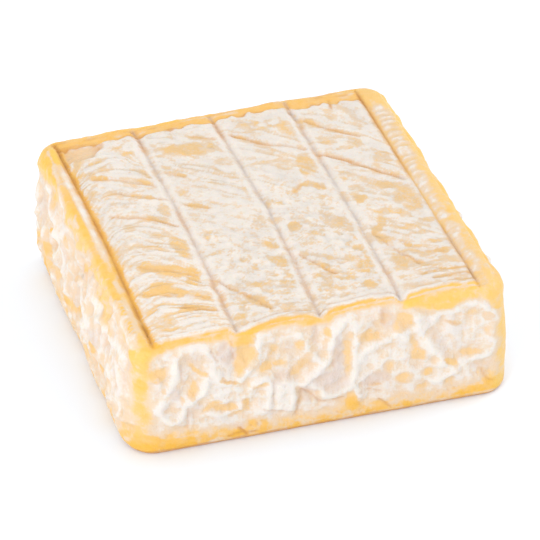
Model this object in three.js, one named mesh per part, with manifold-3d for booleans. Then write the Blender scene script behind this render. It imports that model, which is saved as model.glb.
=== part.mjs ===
// A washed-rind cheese: one square slab of soft cheese, uncut, ripened on a slatted rack and washed by hand.
//
// The slab rests on its flat base. X runs along the front side, Y from the front to the back and Z up, all in
// millimetres, and the origin is the centre of the base. The rind is one closed skin. Its top has a seam
// inside each rim, three rack marks between them, and creases that slant across the four strips. Its sides
// are wrinkled into thick, ropy folds between a smooth band under the top and one above the base.

import * as THREE from "three";
import { mergeVertices } from "three/addons/utils/BufferGeometryUtils.js";
import Module from "manifold-3d";

const { clamp, lerp, smoothstep } = THREE.MathUtils;

// Driving dimensions
const WIDTH = 108.5;
const DEPTH = 104.5;
const HEIGHT = 38.8;
const CORNER_RADIUS = 7.5;
const TOP_EDGE_RADIUS = 4.2;
const BASE_EDGE_RADIUS = 3.2;
const BASE_TRIM = 1; // the skin reaches this far below the base, and is cut off flat there

// How far each corner of the slab lies out of square, along X, Y and Z
const CORNER_SHIFTS = [
  { side: "left", end: "front", level: "base", shift: [-0.9, 2.4, 0] },
  { side: "left", end: "front", level: "top", shift: [-0.9, -0.4, -0.3] },
  { side: "left", end: "back", level: "base", shift: [-2.3, -1.7, 0] },
  { side: "left", end: "back", level: "top", shift: [-2.4, 2.1, 0.8] },
  { side: "right", end: "front", level: "base", shift: [1.3, -1.8, 0] },
  { side: "right", end: "front", level: "top", shift: [-0.9, -1.3, -0.8] },
  { side: "right", end: "back", level: "base", shift: [-0.1, 0, 0] },
  { side: "right", end: "back", level: "top", shift: [-1, 1.9, 0.9] },
];

// Lines pressed into the top from front to back: where each lies at the front, the middle and the back
const PRESSED_LINES = [
  { name: "left seam", x: [-47.8, -48.9, -50.3], depth: 1.2 },
  { name: "left rack mark", x: [-24.9, -25, -26.6], depth: 1.2 },
  { name: "middle rack mark", x: [-1.4, -0.3, -2.2], depth: 1.2 },
  { name: "right rack mark", x: [22.1, 22.3, 20.7], depth: 1.2 },
  { name: "right seam", x: [45.8, 44.6, 43.8], depth: 1 },
];
const LINE_HALF_WIDTH = 1;
const LINE_SHOULDER = 0.3; // the rind is pushed up this much on both sides of a line

// The top's rims, bands and strips
const LEFT_RIM = { height: 1, heightAtBack: 1.5 };
const RIGHT_RIM = { height: 0.9, heightAtBack: 0.9 };
const RIM_CRIMP = { height: 0.2, spacing: 6 };
const STRIP_CROWN = 0.5;
const STRIPS = { front: -48.5, back: 46.5 }; // a smooth band lies past them at both ends
const BAND_DROP = 0.6;
const CORNER_POCKET = { left: -47.5, right: -38, front: 39.5, back: 45.5, depth: 1.1, slope: 1.5 };

// Coarse wrinkles of the top
const WRINKLE = { height: 0.22, spacing: 6 };

// Creases of the top, each from one end to the other
const CREASE_HALF_WIDTH = 1.1;
const CREASES = [
  { points: [[-44, 29], [-34, 24.5], [-27.5, 20]], depth: 0.6 },
  { points: [[-41, 21], [-34, 17], [-27.5, 13]], depth: 0.6 },
  { points: [[-44, 9.5], [-36, 6], [-27, 0]], depth: 0.7 },
  { points: [[-43, -15.5], [-36, -19], [-28.5, -24]], depth: 0.6 },
  { points: [[-46, -27.5], [-39, -29.5], [-28, -33]], depth: 0.6 },
  { points: [[-22, -30.5], [-19, -35], [-13, -43.5]], depth: 0.7 },
  { points: [[1.5, 37.5], [8, 31.5], [18.5, 25.5]], depth: 0.7 },
  { points: [[2, -23], [8, -34]], depth: 0.6 },
  { points: [[25, 38], [29.5, 33], [38, 26]], depth: 0.7 },
  { points: [[24.5, 19.8], [34, 10.8], [42, 3]], depth: 0.9 },
  { points: [[25.5, -21], [29, -30], [33, -37.5]], depth: 0.6 },
  { points: [[31, -26], [36, -32], [42, -33.5]], depth: 0.5 },
];

// The sides: how far each bulges in the middle, and the share of that bulge at each height
const SIDE_BULGE = { front: 0.5, right: 1, back: 0.5, left: 2.3 };
const BULGE_PROFILE = [[0, 0.1], [4, 0.7], [12, 1], [18, 0.9], [26, 0.5], [35, 0]];

// Folds of the sides: the crest of each in steps along the side and up it, its height and its width.
// Steps along a side run to the right of its middle, as seen from outside.
const FRONT_FOLDS = [
  { height: 2, width: 2, crest: [[-41.5, 35], [-43.6, 29], [-47, 20], [-43.5, 12.5]] },
  { height: 2.2, width: 2, crest: [[-43.5, 12.5], [-40, 17.5], [-35.2, 20.5], [-34.5, 26.5]] },
  { height: 2.1, width: 2.2, crest: [[-20, 35.5], [-20.8, 30], [-24.5, 23.5], [-30, 24], [-33, 30]] },
  { height: 2, width: 2.5, crest: [[-31, 18.5], [-25, 19], [-19, 21.5], [-17, 16], [-18.5, 11]] },
  { height: 2.2, width: 2.6, crest: [[-13, 17], [-10.8, 12.5], [-10.5, 9]] },
  { height: 2.7, width: 2.4, crest: [[7, 36], [2.8, 34], [1, 28], [-2.5, 21.5], [-7.5, 17.5], [-13, 18.5]] },
  { height: 1.8, width: 2, crest: [[-8, 35], [-6, 30.5], [-3, 24.8]] },
  { height: 2.3, width: 2.1, crest: [[8, 35], [8.8, 31], [8.1, 23], [8.2, 15], [9.8, 9]] },
  { height: 2, width: 2, crest: [[8, 13.8], [4, 10.8], [-1, 12], [-4.5, 17]] },
  { height: 1.9, width: 2.3, crest: [[8.3, 14.5], [13, 17.5], [17, 21.5], [20, 28]] },
  { height: 2, width: 2.5, crest: [[10, 22.5], [14, 25.5], [20, 28.5], [23.5, 24.5]] },
  { height: 2.8, width: 3.1, crest: [[25.8, 32], [28.7, 25.5], [32, 18.5], [35.5, 13]] },
  { height: 2.2, width: 2, crest: [[31.5, 32], [36.5, 33.4], [42, 34.4], [48, 31], [49.2, 24]] },
  { height: 2.2, width: 2, crest: [[49.2, 24], [47.5, 17], [42, 14.6], [36, 11], [29, 9.5]] },
];
const LEFT_FOLDS = [
  { height: 2.3, width: 2.8, crest: [[-47, 30], [-45, 24], [-46, 15], [-42, 9]] },
  { height: 2, width: 2.5, crest: [[-37, 32], [-33, 25], [-35, 18], [-29, 12]] },
  { height: 2.5, width: 2.8, crest: [[-26, 30], [-21, 25], [-23, 17], [-21, 8]] },
  { height: 2, width: 2.4, crest: [[-17, 31], [-10, 26], [-12, 18], [-7, 11]] },
  { height: 2.1, width: 2.4, crest: [[-4, 31], [0, 25], [5, 22], [3, 13]] },
  { height: 2.5, width: 2.8, crest: [[9, 31], [14, 25], [11, 17], [13, 7]] },
  { height: 2.3, width: 2.6, crest: [[18, 30], [25, 26], [26, 19], [21, 13]] },
  { height: 2.5, width: 2.8, crest: [[30, 31], [36, 26], [38, 18], [33, 8]] },
  { height: 2.1, width: 2.4, crest: [[42, 29], [44, 21], [41, 12]] },
];
const HOLLOW_DEPTH = 1.2;
const FOLDED = { from: 5, to: 34.5, fade: 4.5, endGap: 5 };
const FOLD_STEPS = 4; // straight steps that a crest takes from one of its points to the next

// The right and the back side's folds wander down the side by a seeded rule.
const WANDER = { folds: 10, spans: 5, sway: 5.5, height: 2.3, width: 2.7, rightSeed: 71, backSeed: 127 };

// How finely the skin is divided
const CELLS = { leftRim: 2, strip: 8, rightRim: 3, rows: 40, layers: 22 };

/** A bell curve: 1 at zero, and nearly 0 past twice the width. */
function bell(distance, width) {
  return Math.exp(-((distance / width) ** 2));
}

/** Straight interpolation through [position, value] pairs, in order of position. */
function through(pairs, at) {
  const next = pairs.findIndex(([position]) => position >= at);
  if (next === 0) return pairs[0][1];
  if (next < 0) return pairs[pairs.length - 1][1];
  const [fromPosition, from] = pairs[next - 1];
  const [toPosition, to] = pairs[next];
  return lerp(from, to, (at - fromPosition) / (toPosition - fromPosition));
}

/** The distance from a point to a chain of straight steps. */
function distanceTo(chain, x, y) {
  let nearest = Infinity;
  for (let i = 1; i < chain.length; i++) {
    const [ax, ay] = chain[i - 1];
    const [bx, by] = chain[i];
    const stepX = bx - ax;
    const stepY = by - ay;
    const along = clamp(((x - ax) * stepX + (y - ay) * stepY) / (stepX ** 2 + stepY ** 2), 0, 1);
    nearest = Math.min(nearest, Math.hypot(x - ax - stepX * along, y - ay - stepY * along));
  }
  return nearest;
}

/** A random number generator that gives the same numbers for the same seed. */
function seededRandom(seed) {
  const MULTIPLIER = 48271;
  const MODULUS = 2147483647;
  let state = seed;
  return () => {
    state = (state * MULTIPLIER) % MODULUS;
    return state / MODULUS;
  };
}

/** The same fold with its crest drawn as a smooth curve. */
function smoothFold({ height, width, crest }) {
  const curve = new THREE.SplineCurve(crest.map(([s, z]) => new THREE.Vector2(s, z)));
  const points = curve.getPoints(FOLD_STEPS * (crest.length - 1));
  return { height, width, crest: points.map((point) => point.toArray()) };
}

/** Folds that wander down a side of the given length. */
function wanderingFolds(length, seed) {
  const random = seededRandom(seed);
  const folds = [];
  for (let i = 0; i < WANDER.folds; i++) {
    let s = length * ((i + 0.5) / WANDER.folds - 0.5) + 4 * (random() - 0.5);
    let z = FOLDED.to - 8 * random() * random();
    const drop = (z - FOLDED.from - 4 * random()) / WANDER.spans;
    const crest = [[s, z]];
    for (let span = 0; span < WANDER.spans; span++) {
      s += 2 * WANDER.sway * (random() - 0.5);
      z -= drop * (0.6 + 0.8 * random());
      crest.push([s, z]);
    }
    const size = 0.7 + 0.5 * random();
    folds.push(smoothFold({ height: WANDER.height * size, width: WANDER.width * size, crest }));
  }
  return folds;
}

const FOLDS = {
  front: FRONT_FOLDS.map(smoothFold),
  right: wanderingFolds(DEPTH - 2 * FOLDED.endGap, WANDER.rightSeed),
  back: wanderingFolds(WIDTH - 2 * FOLDED.endGap, WANDER.backSeed),
  left: LEFT_FOLDS.map(smoothFold),
};

/** Where a pressed line runs, at a place from front to back. */
function lineAt(line, y) {
  const [front, middle, back] = line.x;
  return through([[-DEPTH / 2, front], [0, middle], [DEPTH / 2, back]], y);
}

/** The strip that a point of the top lies in, and its place across it, from 0 on the left to 1. */
function acrossStrip(x, y) {
  const edges = [-WIDTH / 2, ...PRESSED_LINES.map((line) => lineAt(line, y)), WIDTH / 2];
  const last = edges.length - 2;
  const next = edges.findIndex((edge) => edge > x);
  const strip = next < 0 ? last : clamp(next - 1, 0, last);
  const share = clamp((x - edges[strip]) / (edges[strip + 1] - edges[strip]), 0, 1);
  return { strip, share, last };
}

/** Coarse wrinkles that slant down to the right across a strip, and straighten along the front edge. */
function wrinkles(x, y, share) {
  const slant = (9 * share + 9 * share ** 2) * smoothstep(y, -48, -32);
  const wander = 1.6 * Math.sin(0.21 * x + 0.07 * y + 1.1) + 0.9 * Math.sin(0.13 * y - 0.09 * x);
  return WRINKLE.height * Math.sin((2 * Math.PI * (y + slant)) / WRINKLE.spacing + wander);
}

/** How far a rim stands up. */
function rimRise({ height, heightAtBack }, x, y, share) {
  const crimp = RIM_CRIMP.height * Math.sin((2 * Math.PI * (y - 0.6 * Math.abs(x))) / RIM_CRIMP.spacing);
  const fade = smoothstep(DEPTH / 2 - Math.abs(y), 1, 7);
  return (lerp(height, heightAtBack, smoothstep(y, 10, 48)) + crimp) * Math.sin(Math.PI * share) * fade;
}

/** How far the top stands up, at x and y. */
function topRelief(x, y) {
  const { strip, share, last } = acrossStrip(x, y);
  let rise = 0;
  if (strip === 0) {
    rise += rimRise(LEFT_RIM, x, y, share);
  } else if (strip === last) {
    rise += rimRise(RIGHT_RIM, x, y, share);
  } else {
    const past = Math.max(STRIPS.front - y, y - STRIPS.back);
    rise += STRIP_CROWN * (1 - (2 * share - 1) ** 4);
    rise += wrinkles(x, y, share) * smoothstep(-past, 0, 2) * Math.sin(Math.PI * share);
    rise -= BAND_DROP * smoothstep(past, -0.5, 1.5) * Math.sin(Math.PI * share) ** 0.5;
  }
  for (const line of PRESSED_LINES) {
    const aside = Math.abs(x - lineAt(line, y));
    rise -= line.depth * bell(aside, LINE_HALF_WIDTH);
    rise += LINE_SHOULDER * bell(aside - 2 * LINE_HALF_WIDTH, LINE_HALF_WIDTH);
  }
  for (const { points, depth } of CREASES) {
    rise -= depth * bell(distanceTo(points, x, y), CREASE_HALF_WIDTH);
  }
  const { left, right, front, back, depth, slope } = CORNER_POCKET;
  const inPocketX = smoothstep(x, left - slope, left) * smoothstep(right + slope - x, 0, slope);
  const inPocketY = smoothstep(y, front - slope, front) * smoothstep(back + slope - y, 0, slope);
  return rise - depth * inPocketX * inPocketY;
}

/** How far a side stands out, at s to the right of its middle, as seen from outside, and z above the base. */
function sideRelief(side, s, z) {
  const length = side === "front" || side === "back" ? WIDTH : DEPTH;
  const fromCorner = length / 2 - Math.abs(s);
  const bulge = SIDE_BULGE[side] * through(BULGE_PROFILE, z) * smoothstep(fromCorner, -5, 12);
  const { from, to, fade, endGap } = FOLDED;
  const folded =
    smoothstep(z, from - fade / 2, from + fade) *
    smoothstep(to + fade / 2 - z, 0, fade) *
    smoothstep(fromCorner, endGap / 2, 2 * endGap);
  const rises = FOLDS[side].map(({ height, width, crest }) => height * bell(distanceTo(crest, s, z), width));
  return bulge + folded * (Math.max(...rises) - HOLLOW_DEPTH);
}

/** How far the rind stands out: the top's relief turns into that of the two nearest sides over the edges. */
function relief({ x, y, z }, normal) {
  const flatness = Math.max(0, normal.z) ** 2;
  const alongX = (normal.x ** 2) / (normal.x ** 2 + normal.y ** 2 || 1);
  const onSides = (1 - flatness) * (1 - Math.max(0, -normal.z));
  let rise = 0;
  if (flatness > 0) rise += flatness * topRelief(x, y);
  if (onSides === 0) return rise;
  if (normal.x > 0) rise += onSides * alongX * sideRelief("right", y, z);
  if (normal.x < 0) rise += onSides * alongX * sideRelief("left", -y, z);
  if (normal.y > 0) rise += onSides * (1 - alongX) * sideRelief("back", -x, z);
  if (normal.y < 0) rise += onSides * (1 - alongX) * sideRelief("front", x, z);
  return rise;
}

/** A point of a plain block's skin on the same block with round corners and edges, and its normal there. */
function roundedBlock(x, y, z) {
  const coreX = clamp(x, CORNER_RADIUS - WIDTH / 2, WIDTH / 2 - CORNER_RADIUS);
  const coreY = clamp(y, CORNER_RADIUS - DEPTH / 2, DEPTH / 2 - CORNER_RADIUS);
  const aside = new THREE.Vector2(x - coreX, y - coreY);
  const reach = Math.max(Math.abs(aside.x), Math.abs(aside.y));
  aside.normalize();

  const isTop = z > HEIGHT / 2;
  const radius = isTop ? TOP_EDGE_RADIUS : BASE_EDGE_RADIUS;
  const bottom = BASE_EDGE_RADIUS - BASE_TRIM;
  const coreZ = clamp(z, bottom, HEIGHT - TOP_EDGE_RADIUS);
  const coreReach = CORNER_RADIUS - radius;
  const edge = new THREE.Vector2(Math.max(0, reach - coreReach), z - coreZ);
  const furthest = Math.max(edge.x, Math.abs(edge.y));
  edge.normalize();

  const normal = new THREE.Vector3(aside.x * edge.x, aside.y * edge.x, edge.y);
  aside.multiplyScalar(Math.min(reach, coreReach) + edge.x * furthest);
  const place = new THREE.Vector3(coreX + aside.x, coreY + aside.y, coreZ + edge.y * furthest);
  return { place, normal };
}

/** How far the cheese lies out of square, at a point of the square block. */
function outOfSquare({ x, y, z }) {
  const right = x / WIDTH + 0.5;
  const back = y / DEPTH + 0.5;
  const top = clamp(z / HEIGHT, 0, 1);
  const total = new THREE.Vector3();
  for (const { side, end, level, shift } of CORNER_SHIFTS) {
    const shareX = side === "right" ? right : 1 - right;
    const shareY = end === "back" ? back : 1 - back;
    const shareZ = level === "top" ? top : 1 - top;
    total.addScaledVector(new THREE.Vector3(...shift), shareX * shareY * shareZ);
  }
  return total;
}

/** Where the grid lines from front to back cross the block, at a place y: three of them follow each mark. */
function gridLines(y) {
  const marks = PRESSED_LINES.map((line) => {
    const x = lineAt(line, y);
    return x - outOfSquare({ x, y, z: HEIGHT }).x;
  });
  const beside = marks.flatMap((x) => [x - LINE_HALF_WIDTH, x, x + LINE_HALF_WIDTH]);
  const knots = [-WIDTH / 2, ...beside, WIDTH / 2];
  const cells = [CELLS.leftRim];
  for (let i = 1; i < marks.length; i++) cells.push(1, 1, CELLS.strip);
  cells.push(1, 1, CELLS.rightRim);
  const places = [knots[0]];
  cells.forEach((count, i) => {
    for (let cell = 1; cell <= count; cell++) places.push(lerp(knots[i], knots[i + 1], cell / count));
  });
  return places;
}

/** The point of the rind for a point of a plain box. The column can lie between two grid lines. */
function onRind(column, y, z) {
  const lines = gridLines(y);
  const before = Math.floor(column);
  const x = lerp(lines[before], lines[Math.ceil(column)], column - before);
  const { place, normal } = roundedBlock(x, y, z);
  place.add(outOfSquare(place));
  return place.addScaledVector(normal, relief(place, normal));
}

/** The whole rind as one closed skin, before its base is cut flat. */
function rindSkin() {
  const columns = gridLines(0).length - 1;
  const box = new THREE.BoxGeometry(columns, DEPTH, HEIGHT + BASE_TRIM, columns, CELLS.rows, CELLS.layers);
  box.translate(columns / 2, 0, (HEIGHT - BASE_TRIM) / 2);
  box.deleteAttribute("normal");
  box.deleteAttribute("uv");
  const skin = mergeVertices(box, 1e-3);
  const points = skin.getAttribute("position");
  const flat = [];
  const shaped = [];
  for (let i = 0; i < points.count; i++) {
    flat.push(new THREE.Vector3().fromBufferAttribute(points, i));
    shaped.push(onRind(Math.round(flat[i].x), flat[i].y, flat[i].z));
    points.setXYZ(i, shaped[i].x, shaped[i].y, shaped[i].z);
  }
  followForm(skin.index, flat, shaped);
  return skin;
}

/** Divides each cell along the diagonal that lies closer to the rind in the cell's middle. */
function followForm(index, flat, shaped) {
  const CORNERS_PER_CELL = 6;
  for (let i = 0; i < index.count; i += CORNERS_PER_CELL) {
    const [a, b, d, c] = [0, 1, 2, 4].map((step) => index.getX(i + step));
    const middle = flat[a].clone().add(flat[c]).multiplyScalar(0.5);
    const target = onRind(middle.x, middle.y, middle.z);
    const missBD = shaped[b].clone().add(shaped[d]).multiplyScalar(0.5).distanceTo(target);
    const missAC = shaped[a].clone().add(shaped[c]).multiplyScalar(0.5).distanceTo(target);
    const corners = missAC < missBD ? [a, b, c, a, c, d] : [a, b, d, b, c, d];
    corners.forEach((corner, step) => index.setX(i + step, corner));
  }
}

const wasm = await Module();
wasm.setup();

/** A closed three.js geometry as a solid that can be cut. */
function toSolid(geometry) {
  const bare = geometry.clone();
  bare.deleteAttribute("normal");
  bare.deleteAttribute("uv");
  const merged = mergeVertices(bare, 1e-3);
  return new wasm.Manifold(
    new wasm.Mesh({
      numProp: 3,
      vertProperties: new Float32Array(merged.getAttribute("position").array),
      triVerts: new Uint32Array(merged.index.array),
    }),
  );
}

/** A cut solid as a three.js geometry again. */
function toGeometry(solid) {
  const { vertProperties, triVerts } = solid.getMesh();
  const geometry = new THREE.BufferGeometry();
  geometry.setAttribute("position", new THREE.BufferAttribute(vertProperties, 3));
  geometry.setIndex(new THREE.BufferAttribute(triVerts, 1));
  geometry.computeVertexNormals();
  return geometry;
}

/** The cheese: the skin with its base cut flat, moved so that the origin is the centre of the base. */
function cheeseGeometry() {
  const below = new THREE.BoxGeometry(2 * WIDTH, 2 * DEPTH, 10 * BASE_TRIM);
  below.translate(0, 0, -5 * BASE_TRIM);
  const geometry = toGeometry(toSolid(rindSkin()).subtract(toSolid(below)));
  geometry.computeBoundingBox();
  const { min, max } = geometry.boundingBox;
  return geometry.translate(-(min.x + max.x) / 2, -(min.y + max.y) / 2, -min.z);
}

const rind = new THREE.MeshStandardMaterial({ color: 0xf2dcc0, roughness: 0.6, metalness: 0 });

const cheese = new THREE.Mesh(cheeseGeometry(), rind);
cheese.name = "cheese";

const model = new THREE.Group();
model.add(cheese);

export default model;
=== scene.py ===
"""A washed-rind cheese, uncut: a square slab with a bloomed, wrinkled top, rack marks and ropy folded sides.

The cheese's own sizes are in millimetres, in the frame of its plain slab, which stands centred on the origin
with X along the front side, Y from the front to the back and Z up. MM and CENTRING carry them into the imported
model's frame, in metres.
"""

import logging
import math
from dataclasses import dataclass, fields, replace
from enum import Enum

import bmesh
import bpy
import numpy as np
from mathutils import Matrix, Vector


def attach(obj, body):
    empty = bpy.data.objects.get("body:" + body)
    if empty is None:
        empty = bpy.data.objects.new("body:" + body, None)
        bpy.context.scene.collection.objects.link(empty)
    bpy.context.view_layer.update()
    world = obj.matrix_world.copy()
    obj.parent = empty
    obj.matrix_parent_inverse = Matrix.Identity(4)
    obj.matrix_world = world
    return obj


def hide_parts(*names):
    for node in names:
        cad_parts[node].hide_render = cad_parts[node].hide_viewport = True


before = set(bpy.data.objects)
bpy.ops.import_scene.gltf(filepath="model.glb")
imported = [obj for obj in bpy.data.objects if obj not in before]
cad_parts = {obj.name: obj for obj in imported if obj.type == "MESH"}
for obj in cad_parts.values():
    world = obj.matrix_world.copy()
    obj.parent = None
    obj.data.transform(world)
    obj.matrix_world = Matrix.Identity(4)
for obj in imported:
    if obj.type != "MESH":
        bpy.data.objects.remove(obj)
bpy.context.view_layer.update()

log = logging.getLogger("cheese")

Array = np.ndarray
Chain = tuple[tuple[float, float], ...]
Colour = tuple[float, float, float]
Place = tuple[float, float, float]

MM = 0.001
CENTRING = (1.157, 0.191, 0.0)  # from the slab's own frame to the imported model's


def bell(distance: Array, width: float) -> Array:
    """A bell curve: 1 at zero, and nearly 0 past twice the width."""
    return np.exp(-((distance / width) ** 2))


def ramp(value: Array, low: float, high: float) -> Array:
    """A smooth step from 0 at low to 1 at high."""
    t = np.clip((value - low) / (high - low), 0, 1)
    return t * t * (3 - 2 * t)


def through(pairs: Chain, at: Array) -> Array:
    """Straight interpolation through (position, value) pairs.

    Args:
        pairs: The pairs, in order of position.
        at: Where the value is wanted.

    Returns:
        The value at each place.
    """
    places, values = zip(*pairs)
    return np.interp(at, places, values)


def distance_to(chain: Array, x: Array, y: Array) -> Array:
    """The distance from points to a chain of straight steps.

    Args:
        chain: The chain's points, in rows.
        x: The points' first coordinates.
        y: The points' second coordinates.

    Returns:
        The distance from each point to the nearest step.
    """
    nearest = np.full(x.shape, np.inf)
    for (ax, ay), (bx, by) in zip(chain[:-1], chain[1:]):
        step_x, step_y = bx - ax, by - ay
        along = np.clip(((x - ax) * step_x + (y - ay) * step_y) / (step_x**2 + step_y**2), 0, 1)
        nearest = np.minimum(nearest, np.hypot(x - ax - step_x * along, y - ay - step_y * along))
    return nearest


def smooth_chain(points: Chain, steps: int = 4) -> Array:
    """A curve that passes smoothly through points.

    Args:
        points: The points to pass through.
        steps: How many straight steps lie from one point to the next.

    Returns:
        The curve's points, in rows.
    """
    p = np.array([points[0], *points, points[-1]], float)
    t = np.linspace(0, 1, steps, endpoint=False)[:, None]
    spans = []
    for before, start, end, after in zip(p[:-3], p[1:-2], p[2:-1], p[3:]):
        leave, arrive = (end - before) / 2, (after - start) / 2
        bend = 2 * start - 2 * end + leave + arrive
        turn = -3 * start + 3 * end - 2 * leave - arrive
        spans.append(start + leave * t + turn * t**2 + bend * t**3)
    return np.vstack([*spans, p[-1:]])


def table(kind: type, *rows: tuple) -> tuple:
    """Makes things of one kind, each from a row of its values."""
    return tuple(kind(*row) for row in rows)


class SoftNoise:
    """Smooth seeded noise in space, from about -1 to 1."""

    SIZE = 64

    def __init__(self, seed: int) -> None:
        """Draws the noise's lattice of random numbers."""
        self.lattice = np.random.default_rng(seed).uniform(-1, 1, (self.SIZE,) * 3)

    def at(self, *coordinates: Array) -> Array:
        """The noise at points.

        Args:
            coordinates: The points' two or three coordinates, in units of one lump of the noise.

        Returns:
            The noise at each point.
        """
        total = 0.0
        x, y, z = (*coordinates, np.full(coordinates[0].shape, 0.5))[:3]
        cells = [np.floor(c).astype(int) for c in (x, y, z)]
        shares = [c - cell for c, cell in zip((x, y, z), cells)]
        shares = [t * t * (3 - 2 * t) for t in shares]
        for corner in np.ndindex(2, 2, 2):
            index = tuple((cell + step) % self.SIZE for cell, step in zip(cells, corner))
            weight = math.prod(t if step else 1 - t for t, step in zip(shares, corner))
            total = total + weight * self.lattice[index]
        return total * 1.3

    def rough(self, *coordinates: Array) -> Array:
        """The noise with two finer layers on it.

        Args:
            coordinates: As for the plain noise.

        Returns:
            The noise at each point.
        """
        first, second = [1.9 * c + 7.3 for c in coordinates], [3.7 * c + 3.1 for c in coordinates]
        return 0.62 * self.at(*coordinates) + 0.3 * self.at(*first) + 0.18 * self.at(*second)


@dataclass
class Skin:
    """What the rind is like at many points: how far it stands out, and what colours it."""

    rise: Array  # millimetres out from the plain slab
    bloom: Array  # 0 bare rind, 1 thick white bloom
    ochre: Array  # 0 pale rind, 1 deep yellow-orange rind
    golden: Array  # how bright and yellow the bare rind is
    crease: Array  # 1 in a dark crease, or in painted shadow along a fold's edge and along the base
    hollow: Array  # 1 where pinkish grey lies: grey bloom, and painted shade in hollows, the pocket and rack marks
    dull: Array  # how much grey lies over the colours: worn grey on rubs and tan streaks, and painted shade in valleys, grooves and over the whole top
    strokes: Array  # how much the fine strokes along the wrinkles show
    speckle: Array  # how grainy the bloom is
    grain_x: Array  # where a point lies along the wrinkles
    grain_y: Array  # where a point lies across the wrinkles
    owned: Array  # the largest share that one region has of a point

    @classmethod
    def plain(cls, points: int) -> "Skin":
        """A skin of nothing."""
        return cls(**{field.name: np.zeros(points) for field in fields(cls)})

    def add(self, other: "Skin", share: Array, chosen: Array) -> None:
        """Adds another skin's share at the chosen points. The grain is that of the largest share alone.

        Args:
            other: The skin to add, at the chosen points alone.
            share: How much of it counts, at the chosen points alone.
            chosen: Which of this skin's points the other skin is for.
        """
        larger = share > self.owned[chosen]
        for field in fields(self):
            mine, its = getattr(self, field.name), getattr(other, field.name)
            if field.name.startswith("grain"):
                mine[chosen] = np.where(larger, its, mine[chosen])
            elif field.name != "owned":
                mine[chosen] += share * its
        self.owned[chosen] = np.maximum(self.owned[chosen], share)

    def lay(self, on: Array, **values: Array | float) -> None:
        """Replaces the named values at the points that on picks out."""
        for name, value in values.items():
            setattr(self, name, np.where(on, value, getattr(self, name)))


@dataclass(frozen=True)
class Slab:
    """The plain slab under the relief: a block with round corners and edges, a little out of square."""

    width: float = 108.5
    depth: float = 104.5
    height: float = 38.8
    corner_radius: float = 7.5
    top_edge_radius: float = 4.2
    base_edge_radius: float = 3.2
    base_trim: float = 1.0
    # how far each corner lies out of square: (right, back, top) and its shift
    corner_shifts: tuple = (
        ((0, 0, 0), (-0.9, 2.4, 0.0)),
        ((0, 0, 1), (-0.9, -0.4, -0.3)),
        ((0, 1, 0), (-2.3, -1.7, 0.0)),
        ((0, 1, 1), (-2.4, 2.1, 0.8)),
        ((1, 0, 0), (1.3, -1.8, 0.0)),
        ((1, 0, 1), (-0.9, -1.3, -0.8)),
        ((1, 1, 0), (-0.1, 0.0, 0.0)),
        ((1, 1, 1), (-1.0, 1.9, 0.9)),
    )

    def rounded(self, points: Array) -> tuple[Array, Array]:
        """Moves a plain block's skin onto the block with round corners and edges.

        Args:
            points: Points of the plain block's skin, in rows.

        Returns:
            Where they lie on the rounded block, and the normals there.
        """
        x, y, z = points.T
        half = np.array([self.width, self.depth]) / 2 - self.corner_radius
        core = np.clip(points[:, :2], -half, half)
        aside = points[:, :2] - core
        reach = np.abs(aside).max(axis=1)
        aside = aside / np.maximum(np.linalg.norm(aside, axis=1), 1e-9)[:, None]
        radius = np.where(z > self.height / 2, self.top_edge_radius, self.base_edge_radius)
        core_z = np.clip(z, self.base_edge_radius - self.base_trim, self.height - self.top_edge_radius)
        core_reach = self.corner_radius - radius
        out, up = np.maximum(0, reach - core_reach), z - core_z
        furthest, length = np.maximum(out, np.abs(up)), np.maximum(np.hypot(out, up), 1e-9)
        out, up = out / length, up / length
        normal = np.column_stack([aside * out[:, None], up])
        aside = aside * (np.minimum(reach, core_reach) + out * furthest)[:, None]
        return np.column_stack([core + aside, core_z + up * furthest]), normal

    def out_of_square(self, points: Array) -> Array:
        """How far the slab lies out of square at points of the square block.

        Args:
            points: The points, in rows.

        Returns:
            The shift of each point, in rows.
        """
        x, y, z = points.T
        shares = (x / self.width + 0.5, y / self.depth + 0.5, np.clip(z / self.height, 0, 1))
        total = np.zeros_like(points)
        for corner, shift in self.corner_shifts:
            weight = math.prod(share if near else 1 - share for share, near in zip(shares, corner))
            total += weight[:, None] * np.array(shift)
        return total


@dataclass(frozen=True)
class Groove:
    """A crease, from one point to the next, with a dark bottom: brown rind, or on the front painted shadow
    along a fold's edge.
    """

    points: Chain
    depth: float
    colour: float
    half_width: float = 0.48


@dataclass(frozen=True)
class Rub:
    """An oval place where the bloom is rubbed off and the rind shows through."""

    x: float
    y: float
    half_length: float
    half_width: float
    strength: float
    turn: float = 0.0  # in degrees

    def at(self, x: Array, y: Array) -> Array:
        """How much of the bloom is rubbed off, with a soft edge.

        Args:
            x: The points' first coordinates.
            y: The points' second coordinates.

        Returns:
            The share at each point, from 0 to 1.
        """
        turn = math.radians(self.turn)
        along = (x - self.x) * math.cos(turn) + (y - self.y) * math.sin(turn)
        across = (y - self.y) * math.cos(turn) - (x - self.x) * math.sin(turn)
        away = np.hypot(along / self.half_length, across / self.half_width)
        return self.strength * ramp(-away, -1.35, -0.85)


def rubbed(rubs: tuple[Rub, ...], x: Array, y: Array) -> Array:
    """How much of the bloom several rubs take off together.

    Args:
        rubs: The rubs.
        x: The points' first coordinates.
        y: The points' second coordinates.

    Returns:
        The share at each point, from 0 to 1.
    """
    kept = np.ones(x.shape)
    for rub in rubs:
        kept *= 1 - rub.at(x, y)
    return 1 - kept


def moved(by: float, length: float, *tables: tuple[Rub, ...]) -> list[tuple[Rub, ...]]:
    """Moves oval places along a side. Those that pass its end start again at its other end.

    Args:
        by: How far to move them.
        length: How long the side is between its corners.
        tables: The places, in one table for each use.

    Returns:
        The tables of moved places.
    """
    def along(x: float) -> float:
        """Where a place of the side ends up."""
        return (x + by + length / 2) % length - length / 2

    return [tuple(replace(rub, x=along(rub.x)) for rub in rubs) for rubs in tables]


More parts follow.
